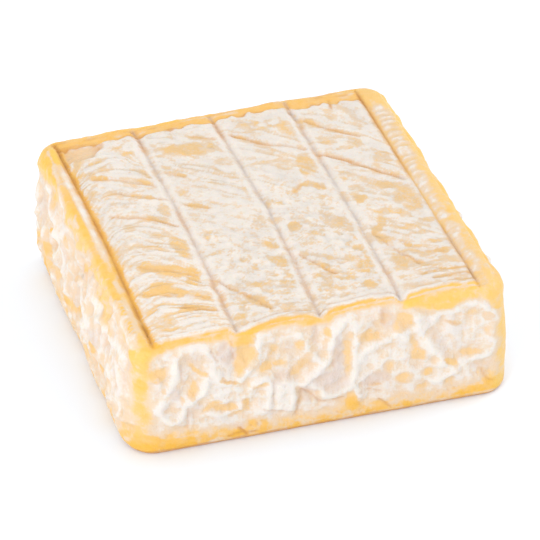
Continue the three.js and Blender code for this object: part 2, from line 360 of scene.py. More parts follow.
@dataclass(frozen=True)
class PressedLine:
    """A line pressed into the top from front to back: a rack mark, or the seam inside a rim."""

    x: tuple[float, float, float]  # at the front, the middle and the back
    depth: Chain  # along the line, from front to back
    colour: Chain  # the same: 0 grey painted shade, 1 orange-brown
    half_width: float = 0.8
    shoulders: float = 1.0  # how much of a white, raised edge it has

    def at(self, y: Array, depth: float) -> Array:
        """Where the line runs, at places from front to back of a slab of that depth."""
        front, middle, back = self.x
        return through(((-depth / 2, front), (0, middle), (depth / 2, back)), y)


MARK_DEPTH: Chain = ((-50, 0.9), (-46, 0.5), (-40, 0.3), (38, 0.3), (43, 0.6), (50, 0.9))

TOP_RUBS = table(
    Rub,
    # the strip behind the left seam
    (-42, 29, 2.4, 1.0, 0.8, -20), (-46, 31.5, 3, 0.8, 0.45), (-42, 36.5, 2.5, 0.8, 0.45, -5),
    (-40.5, 33.5, 1.6, 0.9, 0.45, -20), (-33.5, 42.5, 2.2, 0.8, 0.5, 10), (-31, 39, 2, 0.9, 0.55, 10),
    (-46, 22, 2, 1.2, 0.35, 10), (-31.5, 23.5, 3, 1.3, 0.45, -30), (-33, 16.5, 4, 1.1, 0.5, -28),
    (-28.5, 8, 1.6, 3, 0.45), (-32, 4.5, 3, 1.1, 0.55, -30), (-40.5, 2.5, 2, 1.5, 0.35),
    (-33, -3, 2.5, 1.3, 0.4, -15), (-41, -7, 3.5, 1, 0.45, -5), (-29.2, -10, 2, 4.8, 0.65, 10),
    (-41, -16, 4.5, 1.8, 0.55, -15), (-34, -20, 6, 2, 0.7, -22), (-28.6, -22.5, 1.4, 3.2, 0.55),
    (-41, -26.5, 5, 2, 0.85, 20), (-37, -29.5, 4, 1.9, 0.65, -25), (-30, -26, 2, 2, 0.55),
    (-30, -32, 3.5, 1.5, 0.55, -30), (-35, -36.7, 2, 1.1, 0.8, -20), (-30, -39, 4, 0.8, 0.55, -22),
    (-43, -41.5, 3.4, 2.6, 0.5), (-45, -36, 2, 1.5, 0.35), (-38, -45, 3, 0.7, 0.45),
    # the second strip
    (-13, 35.5, 8, 2.8, 0.75, -8), (-21, 40, 3, 1, 0.3, -10), (-10, 40.5, 3, 0.9, 0.55, -25),
    (-20, 24.5, 2.3, 0.9, 0.65, -38), (-21.5, 15, 2, 1.1, 0.5), (-19, 7, 3, 1, 0.7, -35),
    (-11, 15.5, 2.5, 1, 0.35, -50), (-5, 26, 3.5, 2.2, 0.45), (-4, 19, 2.5, 1.5, 0.35, 40),
    (-2.5, 10, 1.5, 5, 0.3), (-3, -4, 3.5, 1.2, 0.5, -35), (-6.5, -6.5, 2, 1.2, 0.35),
    (-20.3, -7, 1.2, 2.2, 0.45), (-20.3, -12.5, 1, 1, 0.4), (-20, -16, 2, 1, 0.4),
    (-4.3, -16.5, 2.3, 2.4, 0.85, -20), (-13.5, -20.5, 1.9, 1.7, 0.55), (-12, -25, 1.4, 1.1, 0.5),
    (-5, -24, 2.9, 1.9, 0.75, -45), (-7, -21.5, 1.6, 1.1, 0.5), (-3, -26, 1.3, 1.5, 0.5),
    (-13, -32.5, 1.8, 1.6, 0.65), (-4, -31, 1, 2, 0.5), (-4.5, -34.8, 3, 1.2, 0.65, -15),
    (-15.5, -40, 4, 1.4, 0.65, -52), (-8, -37.5, 3.5, 2, 0.4), (-22, -45, 1.8, 1.2, 0.65, 30),
    (-20.5, -41, 2, 0.8, 0.4, 50), (-10, -45.5, 3, 0.8, 0.3, -10),
    # the third strip
    (9, 42.3, 6, 0.7, 0.35), (13.5, 39, 4, 0.8, 0.4, 5), (18.5, 36, 2.2, 5, 0.5),
    (3, 36.5, 1.8, 0.8, 0.5, -50), (5, 22, 5, 1, 0.35), (2, 25.5, 2, 1, 0.35),
    (12, 21.5, 2.5, 0.8, 0.4, -25), (17.5, 17.5, 2.8, 5, 0.7, -10), (12, 19, 3, 2, 0.3, -20),
    (11, 6.8, 2, 1.3, 0.5, 40), (15, 7.8, 2.2, 1.3, 0.6, -20), (17.8, 5.5, 1.8, 1.1, 0.65, -50),
    (2, 3, 1.1, 1.3, 0.6, -30), (4, 1.2, 2, 0.9, 0.5, -30), (17, -1, 1.7, 2.3, 0.45),
    (4.8, -10.3, 2, 1.8, 0.85, -30), (8.3, -15.5, 1.7, 1, 0.45, 60), (11, -16, 1.3, 1.4, 0.5),
    (6, -18.5, 1.5, 1.5, 0.4), (18.3, -11.5, 1.2, 1.8, 0.4), (7, -30.5, 1.7, 1.4, 0.75, 60),
    (16.5, -22.5, 1.5, 0.8, 0.55, 30), (19.5, -20, 0.8, 2, 0.45), (18.8, -25.5, 1.8, 1.1, 0.55),
    (20, -30, 1.1, 2.6, 0.7), (18, -34, 2.1, 2.9, 0.75), (15, -33.5, 2.5, 1.3, 0.6, 10),
    (11.5, -37.5, 2, 0.9, 0.55), (18, -37.5, 2, 0.8, 0.5), (14, -29.5, 1.5, 1, 0.4),
    (9.5, -27, 0.9, 1, 0.4), (3, -34, 1.1, 1.3, 0.5, 60), (6, -37, 1.5, 1, 0.4), (0.5, -37, 1, 1, 0.4),
    (16, -42, 1.9, 1.6, 0.75), (4, -40.5, 2.5, 1.4, 0.45, -20),
    # the strip before the right seam
    (24.5, 38, 2, 3, 0.5), (27, 28, 2.5, 2.5, 0.35), (34.5, 23.5, 1.8, 2.3, 0.5), (31, 21.8, 2.2, 1, 0.55),
    (40, 14.5, 2.8, 2.3, 0.65, -20), (38.5, 32, 1, 2, 0.4), (27, 9, 2.5, 2, 0.35),
    (27, 1.5, 2.5, 2.2, 0.45), (36, 1, 3, 1.9, 0.55, -30), (26.8, -3.5, 1.7, 1.6, 0.85),
    (39.5, -1, 4, 1.9, 0.45, -35), (40, -8, 3.6, 5, 0.65, 10), (36.5, -14.5, 2.5, 1.1, 0.55, -35),
    (31, -11.5, 2, 1.3, 0.45, 20), (34, -12, 3, 1, 0.45, -35), (28.5, -15.5, 1.3, 2.5, 0.6, -20),
    (26.5, -19, 2.5, 1, 0.65, 35), (26.3, -23, 1.6, 2.2, 0.6), (28, -24, 2, 1.1, 0.5),
    (37, -20.5, 5, 1.1, 0.5, -3), (42, -18.5, 1.8, 1, 0.6), (38, -24, 4, 0.9, 0.45, -10),
    (41, -28.5, 3, 1, 0.55, 5), (33.5, -28.5, 2.5, 0.9, 0.5, -45), (41, -33.3, 2.4, 1.2, 0.8),
    (37.5, -33, 2, 0.8, 0.5, -35), (28, -35, 1.6, 3.8, 0.6, 8), (25.5, -41.5, 1.5, 0.9, 0.55, -20),
    (38, -41.5, 6, 0.6, 0.6), (39, -44.7, 5, 0.7, 0.55), (41, -47.2, 4, 0.6, 0.5),
    (36, -38.5, 3, 0.7, 0.4, -5),
)

TOP_GROOVES = table(
    Groove,
    (((-44, 28.8), (-40, 27.5), (-34, 24.5), (-28, 20.5)), 0.36, 0.45),
    (((-41, 21), (-34, 17), (-27, 13)), 0.3, 0.4),
    (((-44, 9.5), (-36, 6), (-31, 3), (-27, 0)), 0.36, 0.48),
    (((-43, -15.5), (-36, -19), (-28.5, -24)), 0.33, 0.3),
    (((-46, -27.5), (-39, -30), (-28, -34.5)), 0.33, 0.4),
    (((-37, -36.5), (-32, -38.5), (-27.5, -41)), 0.28, 0.45),
    (((-23.5, 26), (-18.5, 22.5)), 0.22, 0.4),
    (((-22, 9), (-16.5, 5.5)), 0.25, 0.5),
    (((-10, 41), (-5, 38)), 0.19, 0.4),
    (((-23.5, -28), (-19, -35), (-13, -43.5)), 0.5, 0.65, 0.5),
    (((0.5, 38.5), (4, 35.5), (8, 31.5), (10.5, 30.3), (17, 27), (19.5, 24.8)), 0.5, 0.62, 0.5),
    (((10, 6), (14, 8.5), (18.5, 5)), 0.22, 0.3),
    (((2, -23), (7, -32), (8.5, -34)), 0.45, 0.65, 0.5),
    (((24, 39), (29.5, 33), (37, 26.5)), 0.5, 0.75, 0.5),
    (((22.5, 21.5), (28, 17), (34, 10.8), (42.5, 2.5)), 0.6, 0.95, 0.52),
    (((25, -20), (29, -30), (32.5, -37)), 0.42, 0.6, 0.5),
    (((31, -26), (36, -32), (41, -33.5)), 0.28, 0.35),
    (((34.6, 47.5), (33.6, 43)), 0.33, 0.9, 0.36),
    (((32, -41.5), (44.5, -41.8)), 0.19, 0.5, 0.3),
    (((34, -44.5), (44.5, -44.8)), 0.19, 0.4, 0.3),
    (((37, -47), (44.5, -47.3)), 0.17, 0.4, 0.3),
)


@dataclass(frozen=True)
class StripPlaces:
    """Where points lie on the top's strips, and what the strips' relief and colours share there."""

    x: Array
    y: Array
    number: Array  # the strip, from 0 at the left rim
    share: Array  # the place across the strip, from 0 to 1
    wrinkled: Array  # how wrinkled the strip is, where the rest is grainy
    grainy: Array  # how grainy it is
    past: Array  # how far past the strip's end, negative on the strip
    inside: Array  # 1 on the strip, 0 past its end
    bare: Array  # 0 on the strip, 1 past its end
    spacing: Array  # from one wrinkle to the next
    bent: Array  # the place across the wrinkles, with their waver
    patchy: Array  # 0 where the wrinkles fade
    wave: Array  # 1 on a wrinkle, -1 between two
    streaks: Array  # noise along the wrinkles
    pits: Array  # fine noise
    tan: Array  # 1 in a tan streak
    rubs: Array  # how much of the bloom is rubbed off
    beside: Array  # how far to the right of the left seam
    warp_x: Array  # how far a shape's ragged outline is pushed aside
    warp_y: Array


@dataclass(frozen=True)
class Top:
    """The top: two rims, the seams inside them, and four wrinkled strips between rack marks."""

    slab: Slab
    noise: SoftNoise
    lines: tuple[PressedLine, ...] = (
        PressedLine(
            (-48.6, -48.95, -50.9),
            ((-50, 0.6), (-44, 0.65), (-30, 0.4), (-10, 0.35), (25, 0.4), (36, 0.6), (50, 0.9)),
            ((-50, 0.7), (-45, 1.0), (-30, 0.85), (-8, 0.8), (5, 0.9), (15, 0.75), (32, 1.0), (50, 1.0)),
            0.5,
            0.0,
        ),
        PressedLine(
            (-25.1, -24.8, -26.4),
            MARK_DEPTH,
            (
                (-50, 0.3), (-36, 0.7), (-27, 0.6), (-20, 0.2), (-6, 0.25), (0, 0.5), (6, 0.45), (10, 0.1),
                (37, 0.1), (41, 1), (47, 1), (51, 0.4),
            ),
        ),
        PressedLine(
            (-1.4, 0.1, -2.5),
            MARK_DEPTH,
            (
                (-50, 0.2), (-40, 0.4), (-30, 0.25), (-20, 0.4), (-8, 0), (35, 0.1), (41, 0.9), (46, 0.9),
                (50, 0.3),
            ),
        ),
        PressedLine(
            (22.2, 22.7, 21.4),
            MARK_DEPTH,
            (
                (-50, 0.2), (-44, 0.45), (-36, 0.3), (-28, 0), (8, 0), (20, 0.3), (30, 0.2), (40, 0.5),
                (47, 0.5), (50, 0.3),
            ),
        ),
        PressedLine(
            (45.2, 44.8, 44.3),
            (
                (-50, 0.6), (-44, 0.55), (-36, 0.4), (-20, 0.3), (-12, 0.15), (3, 0.15), (10, 0.35),
                (38, 0.45), (47, 0.8), (50, 0.7),
            ),
            (
                (-50, 0.6), (-40, 0.75), (-20, 0.5), (-14, 0.2), (2, 0.2), (8, 0.7), (20, 0.7), (34, 0.85),
                (47, 1.0), (50, 0.6),
            ),
            0.45,
            0.3,
        ),
    )
    line_shoulder: float = 0.3
    left_rim: tuple[float, float] = (0.9, 1.2)  # its height, and its height at the back
    right_rim: tuple[float, float] = (0.9, 0.95)
    strip_crown: float = 0.5
    band_drop: float = 0.6
    wrinkle_height: float = 0.4
    # from one wrinkle to the next, on the left rim, each strip and the right rim
    wrinkle_spacing: tuple[float, ...] = (2.0, 2.3, 3.4, 3.4, 3.0, 2.0)
    # how wrinkled each strip is, from front to back, where the rest is grainy
    wrinkled: tuple[Chain, ...] = (
        ((-48, 0.9), (-20, 1.0), (-5, 0.75), (5, 0.6), (15, 0.35), (25, 0.9), (42, 0.8)),
        ((-48, 0.45), (-35, 0.2), (-10, 0.3), (5, 0.6), (20, 0.7), (42, 0.7)),
        ((-48, 0.45), (-35, 0.2), (-10, 0.2), (5, 0.4), (20, 0.55), (30, 0.7), (42, 0.6)),
        ((-48, 0.9), (-30, 0.6), (-10, 0.5), (5, 0.5), (20, 0.7), (42, 0.65)),
    )
    # the strips' ends: the crest along the front edge dips at each rack mark
    front_edge: Chain = (
        (-50, -49.8), (-45, -49), (-40, -48.6), (-34, -48.4), (-27.5, -48.6), (-24.8, -51.5), (-21, -50.2),
        (-15, -48.7), (-10, -48.4), (-5, -48.8), (-1, -51), (2.5, -49), (8, -48.4), (15, -48.1), (20, -48.6),
        (22.6, -50.8), (25, -48.9), (30, -48.4), (38, -48.2), (46, -49.2),
    )
    back_swell: Chain = ((-45, -0.4), (-22, -0.4), (-5, 0), (8, 0.5), (17, 0.8), (26, 0.5), (40, 0))
    back_edge: Chain = ((-50, 46.2), (-38, 46.3), (-28, 47), (-24, 46.5), (20, 46.9), (26, 46), (44, 45))
    pocket: tuple[float, float, float, float] = (-48.5, -41.0, 39.8, 46.0)  # left, right, front, back
    pocket_depth: float = 1.1
    pocket_slope: float = 1.5

    def strip(self, x: Array, y: Array) -> tuple[Array, Array]:
        """Finds the strip that each point lies in.

        Args:
            x: Where the points lie.
            y: The same, from front to back.

        Returns:
            The strips' numbers, from 0 at the left rim, and the places across them, from 0 to 1.
        """
        half = np.full(x.shape, self.slab.width / 2)
        edges = np.stack([-half, *(line.at(y, self.slab.depth) for line in self.lines), half])
        number = np.clip((edges <= x).sum(axis=0) - 1, 0, len(self.lines))
        low = np.take_along_axis(edges, number[None], 0)[0]
        high = np.take_along_axis(edges, number[None] + 1, 0)[0]
        return number, np.clip((x - low) / (high - low), 0, 1)

    def across_wrinkles(self, x: Array, y: Array, number: Array, share: Array) -> Array:
        """A coordinate that is the same all along a wrinkle.

        The wrinkles slant down to the right, and straighten in front.

        Args:
            x: Where the points lie.
            y: The same, from front to back.
            number: The strips that they lie in.
            share: Their places across their strip.

        Returns:
            The coordinate, in millimetres.
        """
        slant = 15 * share + 3 * share**2
        arch = np.where(x < -41, 0.1, 0.042) * (x + 41) ** 2
        straight = ramp(y, -50, -24) * (1 - 0.55 * ramp(y, 32, 47))
        return y + np.where(number == 1, arch, slant) * straight

    def skin(self, x: Array, y: Array) -> Skin:
        """The skin of the top.

        Args:
            x: Where the points lie, in the slab's frame.
            y: The same, from front to back.

        Returns:
            The skin at the points.
        """
        number, share = self.strip(x, y)
        skin = Skin.plain(len(x))
        across = self.across_wrinkles(x, y, number, share)
        skin.grain_x, skin.grain_y = x + 40.0 * number, across / np.array(self.wrinkle_spacing)[number]
        self.add_strips(skin, self.strip_places(x, y, number, share, across))
        self.add_left_rim(skin, x, y, share, number == 0)
        self.add_right_rim(skin, x, y, share, number == len(self.lines))
        self.add_lines(skin, x, y)
        return skin

    def strip_places(self, x: Array, y: Array, number: Array, share: Array, across: Array) -> StripPlaces:
        """Works out what the strips' relief and colours share.

        Args:
            x: Where the points lie.
            y: The same, from front to back.
            number: The strips that they lie in.
            share: Their places across their strip.
            across: Their places across the wrinkles.

        Returns:
            The strips' places.
        """
        noise = self.noise
        front, back = through(self.front_edge, x), through(self.back_edge, x)
        ragged = 0.5 * noise.at(x / 1.8, y / 3 + 8) + 0.5 * noise.at(x / 5 + 3, y / 5)
        past = np.maximum(front - y, y - back) + ragged * (1 + 0.8 * (y > 0) * ramp(x, -44, -36))
        wrinkled = np.zeros(len(x))
        for strip, strengths in enumerate(self.wrinkled, 1):
            wrinkled = np.where(number == strip, through(strengths, y), wrinkled)
        bent = across + 1.6 * noise.at(x / 7, y / 5) + 0.6 * noise.at(x / 3, y / 2.5 + 40)
        bent = bent + 0.8 * noise.at(x / 14, across / 2.6 + 240)
        patchy = ramp(noise.at(x / 7 + 9, across / 3), -0.4, 0.6)
        spacing = np.array(self.wrinkle_spacing)[number]
        warp_x = 0.7 * noise.at(x / 2.6, y / 2.6 + 17) + 0.4 * noise.at(x / 1.1, y / 1.1 + 37)
        warp_y = 0.6 * noise.at(x / 2.6 + 5, y / 2.6) + 0.4 * noise.at(x / 1.1 + 15, y / 1.1)
        tan = ramp(noise.rough(x / 8 + 31, bent / 1.5 + 210), 0.1, 0.42)
        return StripPlaces(
            x=x, y=y, number=number, share=share, wrinkled=wrinkled,
            grainy=ramp(0.6 - wrinkled, 0, 0.35),
            past=past,
            inside=ramp(-past, 0, 2),
            bare=ramp(past, -0.5, 0.7),
            spacing=spacing, bent=bent, patchy=patchy,
            wave=np.cos(2 * np.pi * bent / spacing) * patchy,
            streaks=noise.rough(x / 7 + 31, bent / (0.85 * spacing)),
            pits=noise.rough(x / 1.6, y / 1.6 + 61),
            tan=tan * ramp(noise.at(x / 9, y / 9 + 250), -0.6, 0.3),
            rubs=np.minimum(1.0, 1.25 * rubbed(TOP_RUBS, x + warp_x, y + warp_y)),
            beside=x - self.lines[0].at(y, self.slab.depth),
            warp_x=warp_x, warp_y=warp_y,
        )

    def strip_rise(self, at: StripPlaces) -> Array:
        """How far the strips stand out: crowned, wrinkled, with a lip at each end and lower bands past it.

        Args:
            at: Where the points lie.

        Returns:
            The distance out from the plain slab, in millimetres.
        """
        noise, x, y, past = self.noise, at.x, at.y, at.past
        middle = np.sin(np.pi * at.share)
        relief = at.wrinkled * (0.6 * at.wave + 0.8 * at.streaks) + 0.75 * (0.3 + at.grainy) * at.pits
        rise = self.strip_crown * (1 - (2 * at.share - 1) ** 4)
        rise += self.wrinkle_height * relief * at.inside * middle**0.3
        rise -= self.band_drop * ramp(past, -0.5, 1.5) * middle**0.5
        rise += 0.3 * bell(past + 0.6, 0.8) - 0.18 * bell(past + 1.9, 0.45) * (0.5 + (np.abs(x) < 22))
        rise += through(self.back_swell, x) * ramp(y, 44, 49) - 0.25 * bell(past - 0.4, 0.6) * (y > 0)
        rise += 0.3 * noise.rough(x / 9, y / 9 + 4)
        rise += 0.15 * noise.rough(x / 2.5 + 20, y / 2.5) * (1 - at.inside)
        return rise

    def strip_bloom(self, at: StripPlaces) -> Array:
        """How much bloom lies on the strips: less in wrinkles, in tan streaks and where it is rubbed off.

        Args:
            at: Where the points lie.

        Returns:
            The bloom.
        """
        noise, x, y, bent, wave = self.noise, at.x, at.y, at.bent, at.wave
        first = at.number == 1
        worn = ramp(noise.at(x / 8, y / 8 + 130), -0.1, 0.5)
        dashed = ramp(noise.at(x / 4 + 5, bent / 1.8 + 77), -0.6, 0.3)
        clear = 0.5 + 0.5 * first * ramp(at.beside, 2.5, 7)
        bloom = 0.92 + at.wrinkled * (0.12 * at.streaks - 0.08) + 0.06 * noise.rough(x / 5, y / 5 + 50)
        bloom -= (0.42 * (at.number > 1) + (0.16 + 0.14 * ramp(y, 10, 20)) * first) * at.tan
        bloom += at.grainy * 0.17 * at.pits
        bloom -= worn * 0.4 * ramp(noise.rough(x / 4, bent / 1.2 + 130), 0.1, 0.5)
        bloom -= 0.26 * ramp(-wave, 0.2, 0.9) * at.wrinkled * clear * (0.25 + 0.75 * dashed)
        in_front = (0.25 + 0.13 * first) * ramp(-y, 30, 38)
        bloom -= in_front * ramp(-wave - 0.6 * at.streaks, 0.0, 0.8) * at.wrinkled
        bloom -= (0.68 + 0.2 * noise.rough(x / 2, bent / 1.2 + 15)) * at.rubs
        return bloom + 0.2 * bell(at.past + 0.3, 0.6)

    def band_bloom(self, at: StripPlaces) -> Array:
        """How much bloom lies on the yellow bands past the strips' ends.

        Args:
            at: Where the points lie.

        Returns:
            The bloom.
        """
        noise, x, y = self.noise, at.x, at.y
        bloom = 0.18 - 0.18 * (y > 0) + 0.34 * noise.rough(x / 2.6, y / 1.4 + 90)
        bloom += 0.2 * bell(at.share, 0.07) + 0.2 * bell(1 - at.share, 0.07)
        bloom += 0.24 * ramp(noise.at(x / 5, y / 1.1 + 66), -0.1, 0.7) * (y > 0) * ramp(at.past, 0.2, 1.0)
        edge = through(self.front_edge, x) - y
        edge = edge + 0.35 * noise.at(x / 5 + 3, y / 5) + 0.1 * noise.at(x / 1.8, y / 3 + 8)
        bloom += 0.34 * bell(edge - 1.3, 0.4) * ramp(x, -22, -12) - 0.3 * bell(edge - 0.6, 0.35)
        bloom += 0.3 * ramp(-y, 40, 42) * (bell(x + 37, 8) + 0.6 * bell(x - 34, 7))
        return bloom

    def strip_crease(self, at: StripPlaces) -> Array:
        """The dark lines along the strips' ends, and dark specks round the places that are rubbed off.

        Args:
            at: Where the points lie.

        Returns:
            How dark they are.
        """
        noise, x, y, past = self.noise, at.x, at.y, at.past
        crease = 0.3 * bell(past + 1.8, 0.35) * (y < 0) * (0.4 + 0.6 * (np.abs(x) < 22))
        crease += 0.8 * bell(past - 0.4, 0.6) * (y > 0) * ramp(noise.at(x / 5, y / 9 + 140), -0.8, 0.2)
        crease += 0.45 * ramp(noise.at(x / 4, y + 60), 0.1, 0.7) * at.bare * (y > 0)
        specks = ramp(noise.at(x / 0.8, y / 0.8 + 150), 0.55, 0.95)
        crease += 0.4 * at.grainy * specks * ramp(at.rubs, 0.05, 0.4) * (1 - at.rubs)
        return crease

    def add_grooves(self, skin: Skin, at: StripPlaces) -> None:
        """Presses the strips' own creases into them, each with a bare fringe.

        Args:
            skin: The strips' skin.
            at: Where its points lie.
        """
        sunk = np.zeros(len(at.x))
        for groove in TOP_GROOVES:
            chain = smooth_chain(groove.points)
            away = distance_to(chain, at.x + 0.5 * at.warp_x, at.y + 0.5 * at.warp_y)
            tint = 1.1 * groove.colour * bell(away, groove.half_width) * (0.7 + 0.7 * at.streaks)
            fringe = groove.colour * bell(away, 2.2 * groove.half_width)
            sunk = np.maximum(sunk, groove.depth * bell(away, 1.25 * groove.half_width))
            skin.crease = np.maximum(skin.crease, tint)
            skin.bloom = skin.bloom - (0.45 + 0.5 * at.streaks) * fringe
        skin.rise = skin.rise - sunk

    def in_pocket(self, at: StripPlaces) -> Array:
        """How far points lie in the pocket at the back left corner.

        Args:
            at: Where the points lie.

        Returns:
            1 inside, 0 outside.
        """
        left, right, near_end, far_end = self.pocket
        slope = self.pocket_slope
        leaning = right + 0.75 * (at.y - near_end) + 0.7 * at.warp_x  # the pocket's right side leans
        inside = ramp(at.x, left - slope, left) * ramp(leaning - at.x, -0.5, slope)
        inside *= ramp(at.y + 0.6 * at.warp_y, near_end - slope / 2, near_end + slope / 2)
        return inside * ramp(-at.y, -far_end - 1, 1 - far_end)

    def add_strips(self, skin: Skin, at: StripPlaces) -> None:
        """Adds the crowned, wrinkled and rubbed strips, and the bands past their ends.

        Args:
            skin: The skin to add them to.
            at: Where its points lie.
        """
        x, y, bare, rubs = at.x, at.y, at.bare, at.rubs
        first = at.number == 1
        made = Skin.plain(len(x))
        made.rise = self.strip_rise(at)
        made.bloom = self.strip_bloom(at) * (1 - bare) + self.band_bloom(at) * bare
        made.crease = self.strip_crease(at)
        self.add_grooves(made, at)
        stain = bell(at.beside - 0.5, 1.9) * (0.7 + 0.3 * ramp(y, 25, 35)) * (1 - 0.5 * ramp(-y, 28, 33))
        made.bloom -= (0.4 - 0.1 * at.wave - 0.3 * at.streaks) * stain * first

        pocket = self.in_pocket(at)
        made.rise -= self.pocket_depth * pocket
        made.bloom += (0.24 + 0.12 * at.streaks - 0.2 * ramp(-x, 44, 48) - made.bloom) * pocket
        made.crease = np.maximum(made.crease, 0.4 * pocket * ramp(x, -42, -38))
        # Painted shade: grey in the wrinkles' valleys and low pits, and over the whole top, which the light
        # leaves dimmer; worn grey on rubs and tan streaks
        dull = 0.12 * ramp(-at.wave, 0, 1) * at.wrinkled - 0.22 * at.pits * (0.5 + 0.5 * at.grainy)
        dull = (dull + 0.12 * rubs + 0.12 * at.tan) * (1 - bare)
        dull += 0.15 + 0.08 * self.noise.rough(x / 5, y / 5 + 160) - 0.12 * bare - 0.02 * pocket
        strokes = at.inside * (1 - 0.7 * pocket) * (0.12 + 0.8 * at.wrinkled) * (0.5 + 0.5 * at.patchy)
        skin.lay(
            (at.number > 0) & (at.number < len(self.lines)),
            rise=made.rise,
            bloom=made.bloom,
            ochre=0.22 + 0.28 * rubs + 0.6 * bare + 0.3 * stain,
            golden=0.22 * bare * (y < 0) * ramp(x, 5, 30),
            crease=made.crease,
            # pinkish grey bloom over the strips, and painted shade in the pocket
            hollow=0.15 + 0.3 * pocket - 0.15 * np.maximum(bare * (y < 0), rubs),
            dull=dull - (0.05 + 0.09 * ramp(-y, 5, 25)) * first,
            strokes=strokes * (1 + 0.3 * first * ramp(-y, 20, 35)),
            speckle=(0.62 + 0.4 * at.grainy) * (1 - 0.7 * np.maximum(bare, pocket)),
            grain_y=at.bent / at.spacing,
        )

    def add_left_rim(self, skin: Skin, x: Array, y: Array, share: Array, on: Array) -> None:
        """Adds the raised rim along the left edge, marbled yellow and white along its length.

        Args:
            skin: The skin to add it to.
            x: Where the points lie.
            y: The same, from front to back.
            share: Their places across the rim.
            on: Which points lie on the rim.
        """
        noise = self.noise
        fade = ramp(self.slab.depth / 2 - np.abs(y), 1, 7)
        height, height_at_back = self.left_rim
        slanted = y + 1.3 * x + 0.5 * noise.at(x / 9, y / 3)
        ridged = ramp(-y, 27, 32) * ramp(y, -51, -48)
        ridges = np.sin(2 * np.pi * (slanted + 0.8 * noise.at(x / 20, y / 4 + 7)) / 1.75)
        crest = height + (height_at_back - height) * ramp(y, 10, 48) + 0.07 * ridges * ridged
        crest = crest + 0.35 * noise.rough(x / 3, y / 4 + 80)
        marble = noise.rough(x / 1.6, y / 3 + 12)
        stripe = bell(y + 18, 10) + 0.6 * ramp(-y, 38, 44)
        behind = ramp(y, 34, 40)
        skin.lay(
            on,
            rise=crest * np.sin(np.pi * share) * fade,
            bloom=0.66 + 0.4 * marble - 0.42 * np.minimum(1, stripe) - 0.5 * behind - 0.14 * ridged,
            ochre=0.36 - 0.2 * marble + 0.35 * stripe + 0.5 * behind,
            golden=0.2 + 0.3 * behind,
            strokes=(0.12 + 0.5 * ridged) * ramp(x, -50.4, -49.8),
            speckle=0.15,
            grain_x=np.where(y < -27, x, y),
            grain_y=np.where(y < -27, slanted / 1.3, x / 1.4),
        )

    def add_right_rim(self, skin: Skin, x: Array, y: Array, share: Array, on: Array) -> None:
        """Adds the rim along the right edge, with slanted crimps next to the seam and a smooth outer edge.

        Args:
            skin: The skin to add it to.
            x: Where the points lie.
            y: The same, from front to back.
            share: Their places across the rim.
            on: Which points lie on the rim.
        """
        noise = self.noise
        fade = ramp(self.slab.depth / 2 - np.abs(y), 1, 7)
        height, height_at_back = self.right_rim
        out = x - self.lines[-1].at(y, self.slab.depth)
        bent = y - 0.6 * out + 0.1 * out**2 + 1.3 * noise.at(x / 9, y / 3.4)
        reach = 3.1 + 1.3 * ramp(y, 5, 20) + 1.4 * noise.at(x / 30, y / 2.6 + 71)
        inner = ramp(out, -0.2, 0.4) * ramp(reach - out, -1.2, 1.0) * ramp(-y, -43, -38)
        stitched = ramp(y, -6, 8)
        stitch = np.cos(2 * np.pi * bent / 2.9) * (0.35 + 0.65 * stitched)
        blotch = noise.rough(out / 1.8, bent / 1.7 + 9)
        crest = height + (height_at_back - height) * ramp(y, 10, 48) + (0.2 * stitch + 0.2 * blotch) * inner
        crest = crest + 0.2 * noise.at(x / 4, y / 6 + 33) + 0.12 * noise.rough(x / 2, y / 2 + 45)
        blob = bell(np.hypot(x - 49, y + 17), 1.6)
        bloom = 0.2 + (0.27 + 0.22 * stitch + (0.6 - 0.2 * stitched) * blotch) * inner - 0.3 * blob
        bloom = bloom + (0.26 + 0.1 * ramp(-y, 0, 20)) * noise.rough(x / 2.2, y / 2.6 + 55)
        skin.lay(
            on,
            rise=crest * np.sin(np.pi * share) ** 0.7 * fade,
            bloom=bloom - 0.15 * ramp(y, 38, 44),
            ochre=0.42 + 0.3 * blob + 0.15 * ramp(y, 38, 44) - 0.12 * inner,
            golden=0.12 + 0.25 * (1 - inner) * ramp(out, 2.5, 6),
            hollow=0.15 * inner,
            # painted shade between the crimps
            dull=0.08 + 0.12 * inner * ramp(-stitch - 0.6 * blotch, -0.2, 0.8),
            strokes=0.35 * inner,
            speckle=0.35,
            grain_x=1.6 * out,
            grain_y=bent / 1.5,
        )

    def add_lines(self, skin: Skin, x: Array, y: Array) -> None:
        """Presses the rack marks and the seams into the top, and colours them.

        Args:
            skin: The top's skin.
            x: Where its points lie.
            y: The same, from front to back.
        """
        noise = self.noise
        for line in self.lines:
            is_mark = line.shoulders > 0.5
            aside = x - line.at(y, self.slab.depth)
            aside = aside - 0.3 * noise.at(x / 30, y / 5) - 0.15 * noise.at(x / 30, y / 1.6)
            skin.rise -= through(line.depth, y) * bell(aside, line.half_width)
            shoulders = bell(aside + 1.7, 0.8) + 0.8 * bell(aside - 1.8, 0.8)
            shoulders = shoulders * ramp(-np.abs(y), -46.5, -43.5)
            skin.rise += self.line_shoulder * line.shoulders * shoulders
            colour = through(line.colour, y) * np.clip(1.0 + 0.5 * noise.at(x / 20, y / 3 + 60), 0.3, 1.4)
            core = line.half_width * (0.9 if line.shoulders else 1.5)
            tint = colour * (1.1 - 0.45 * line.shoulders) * bell(aside + 0.1, core)
            skin.crease = np.maximum(skin.crease, tint)
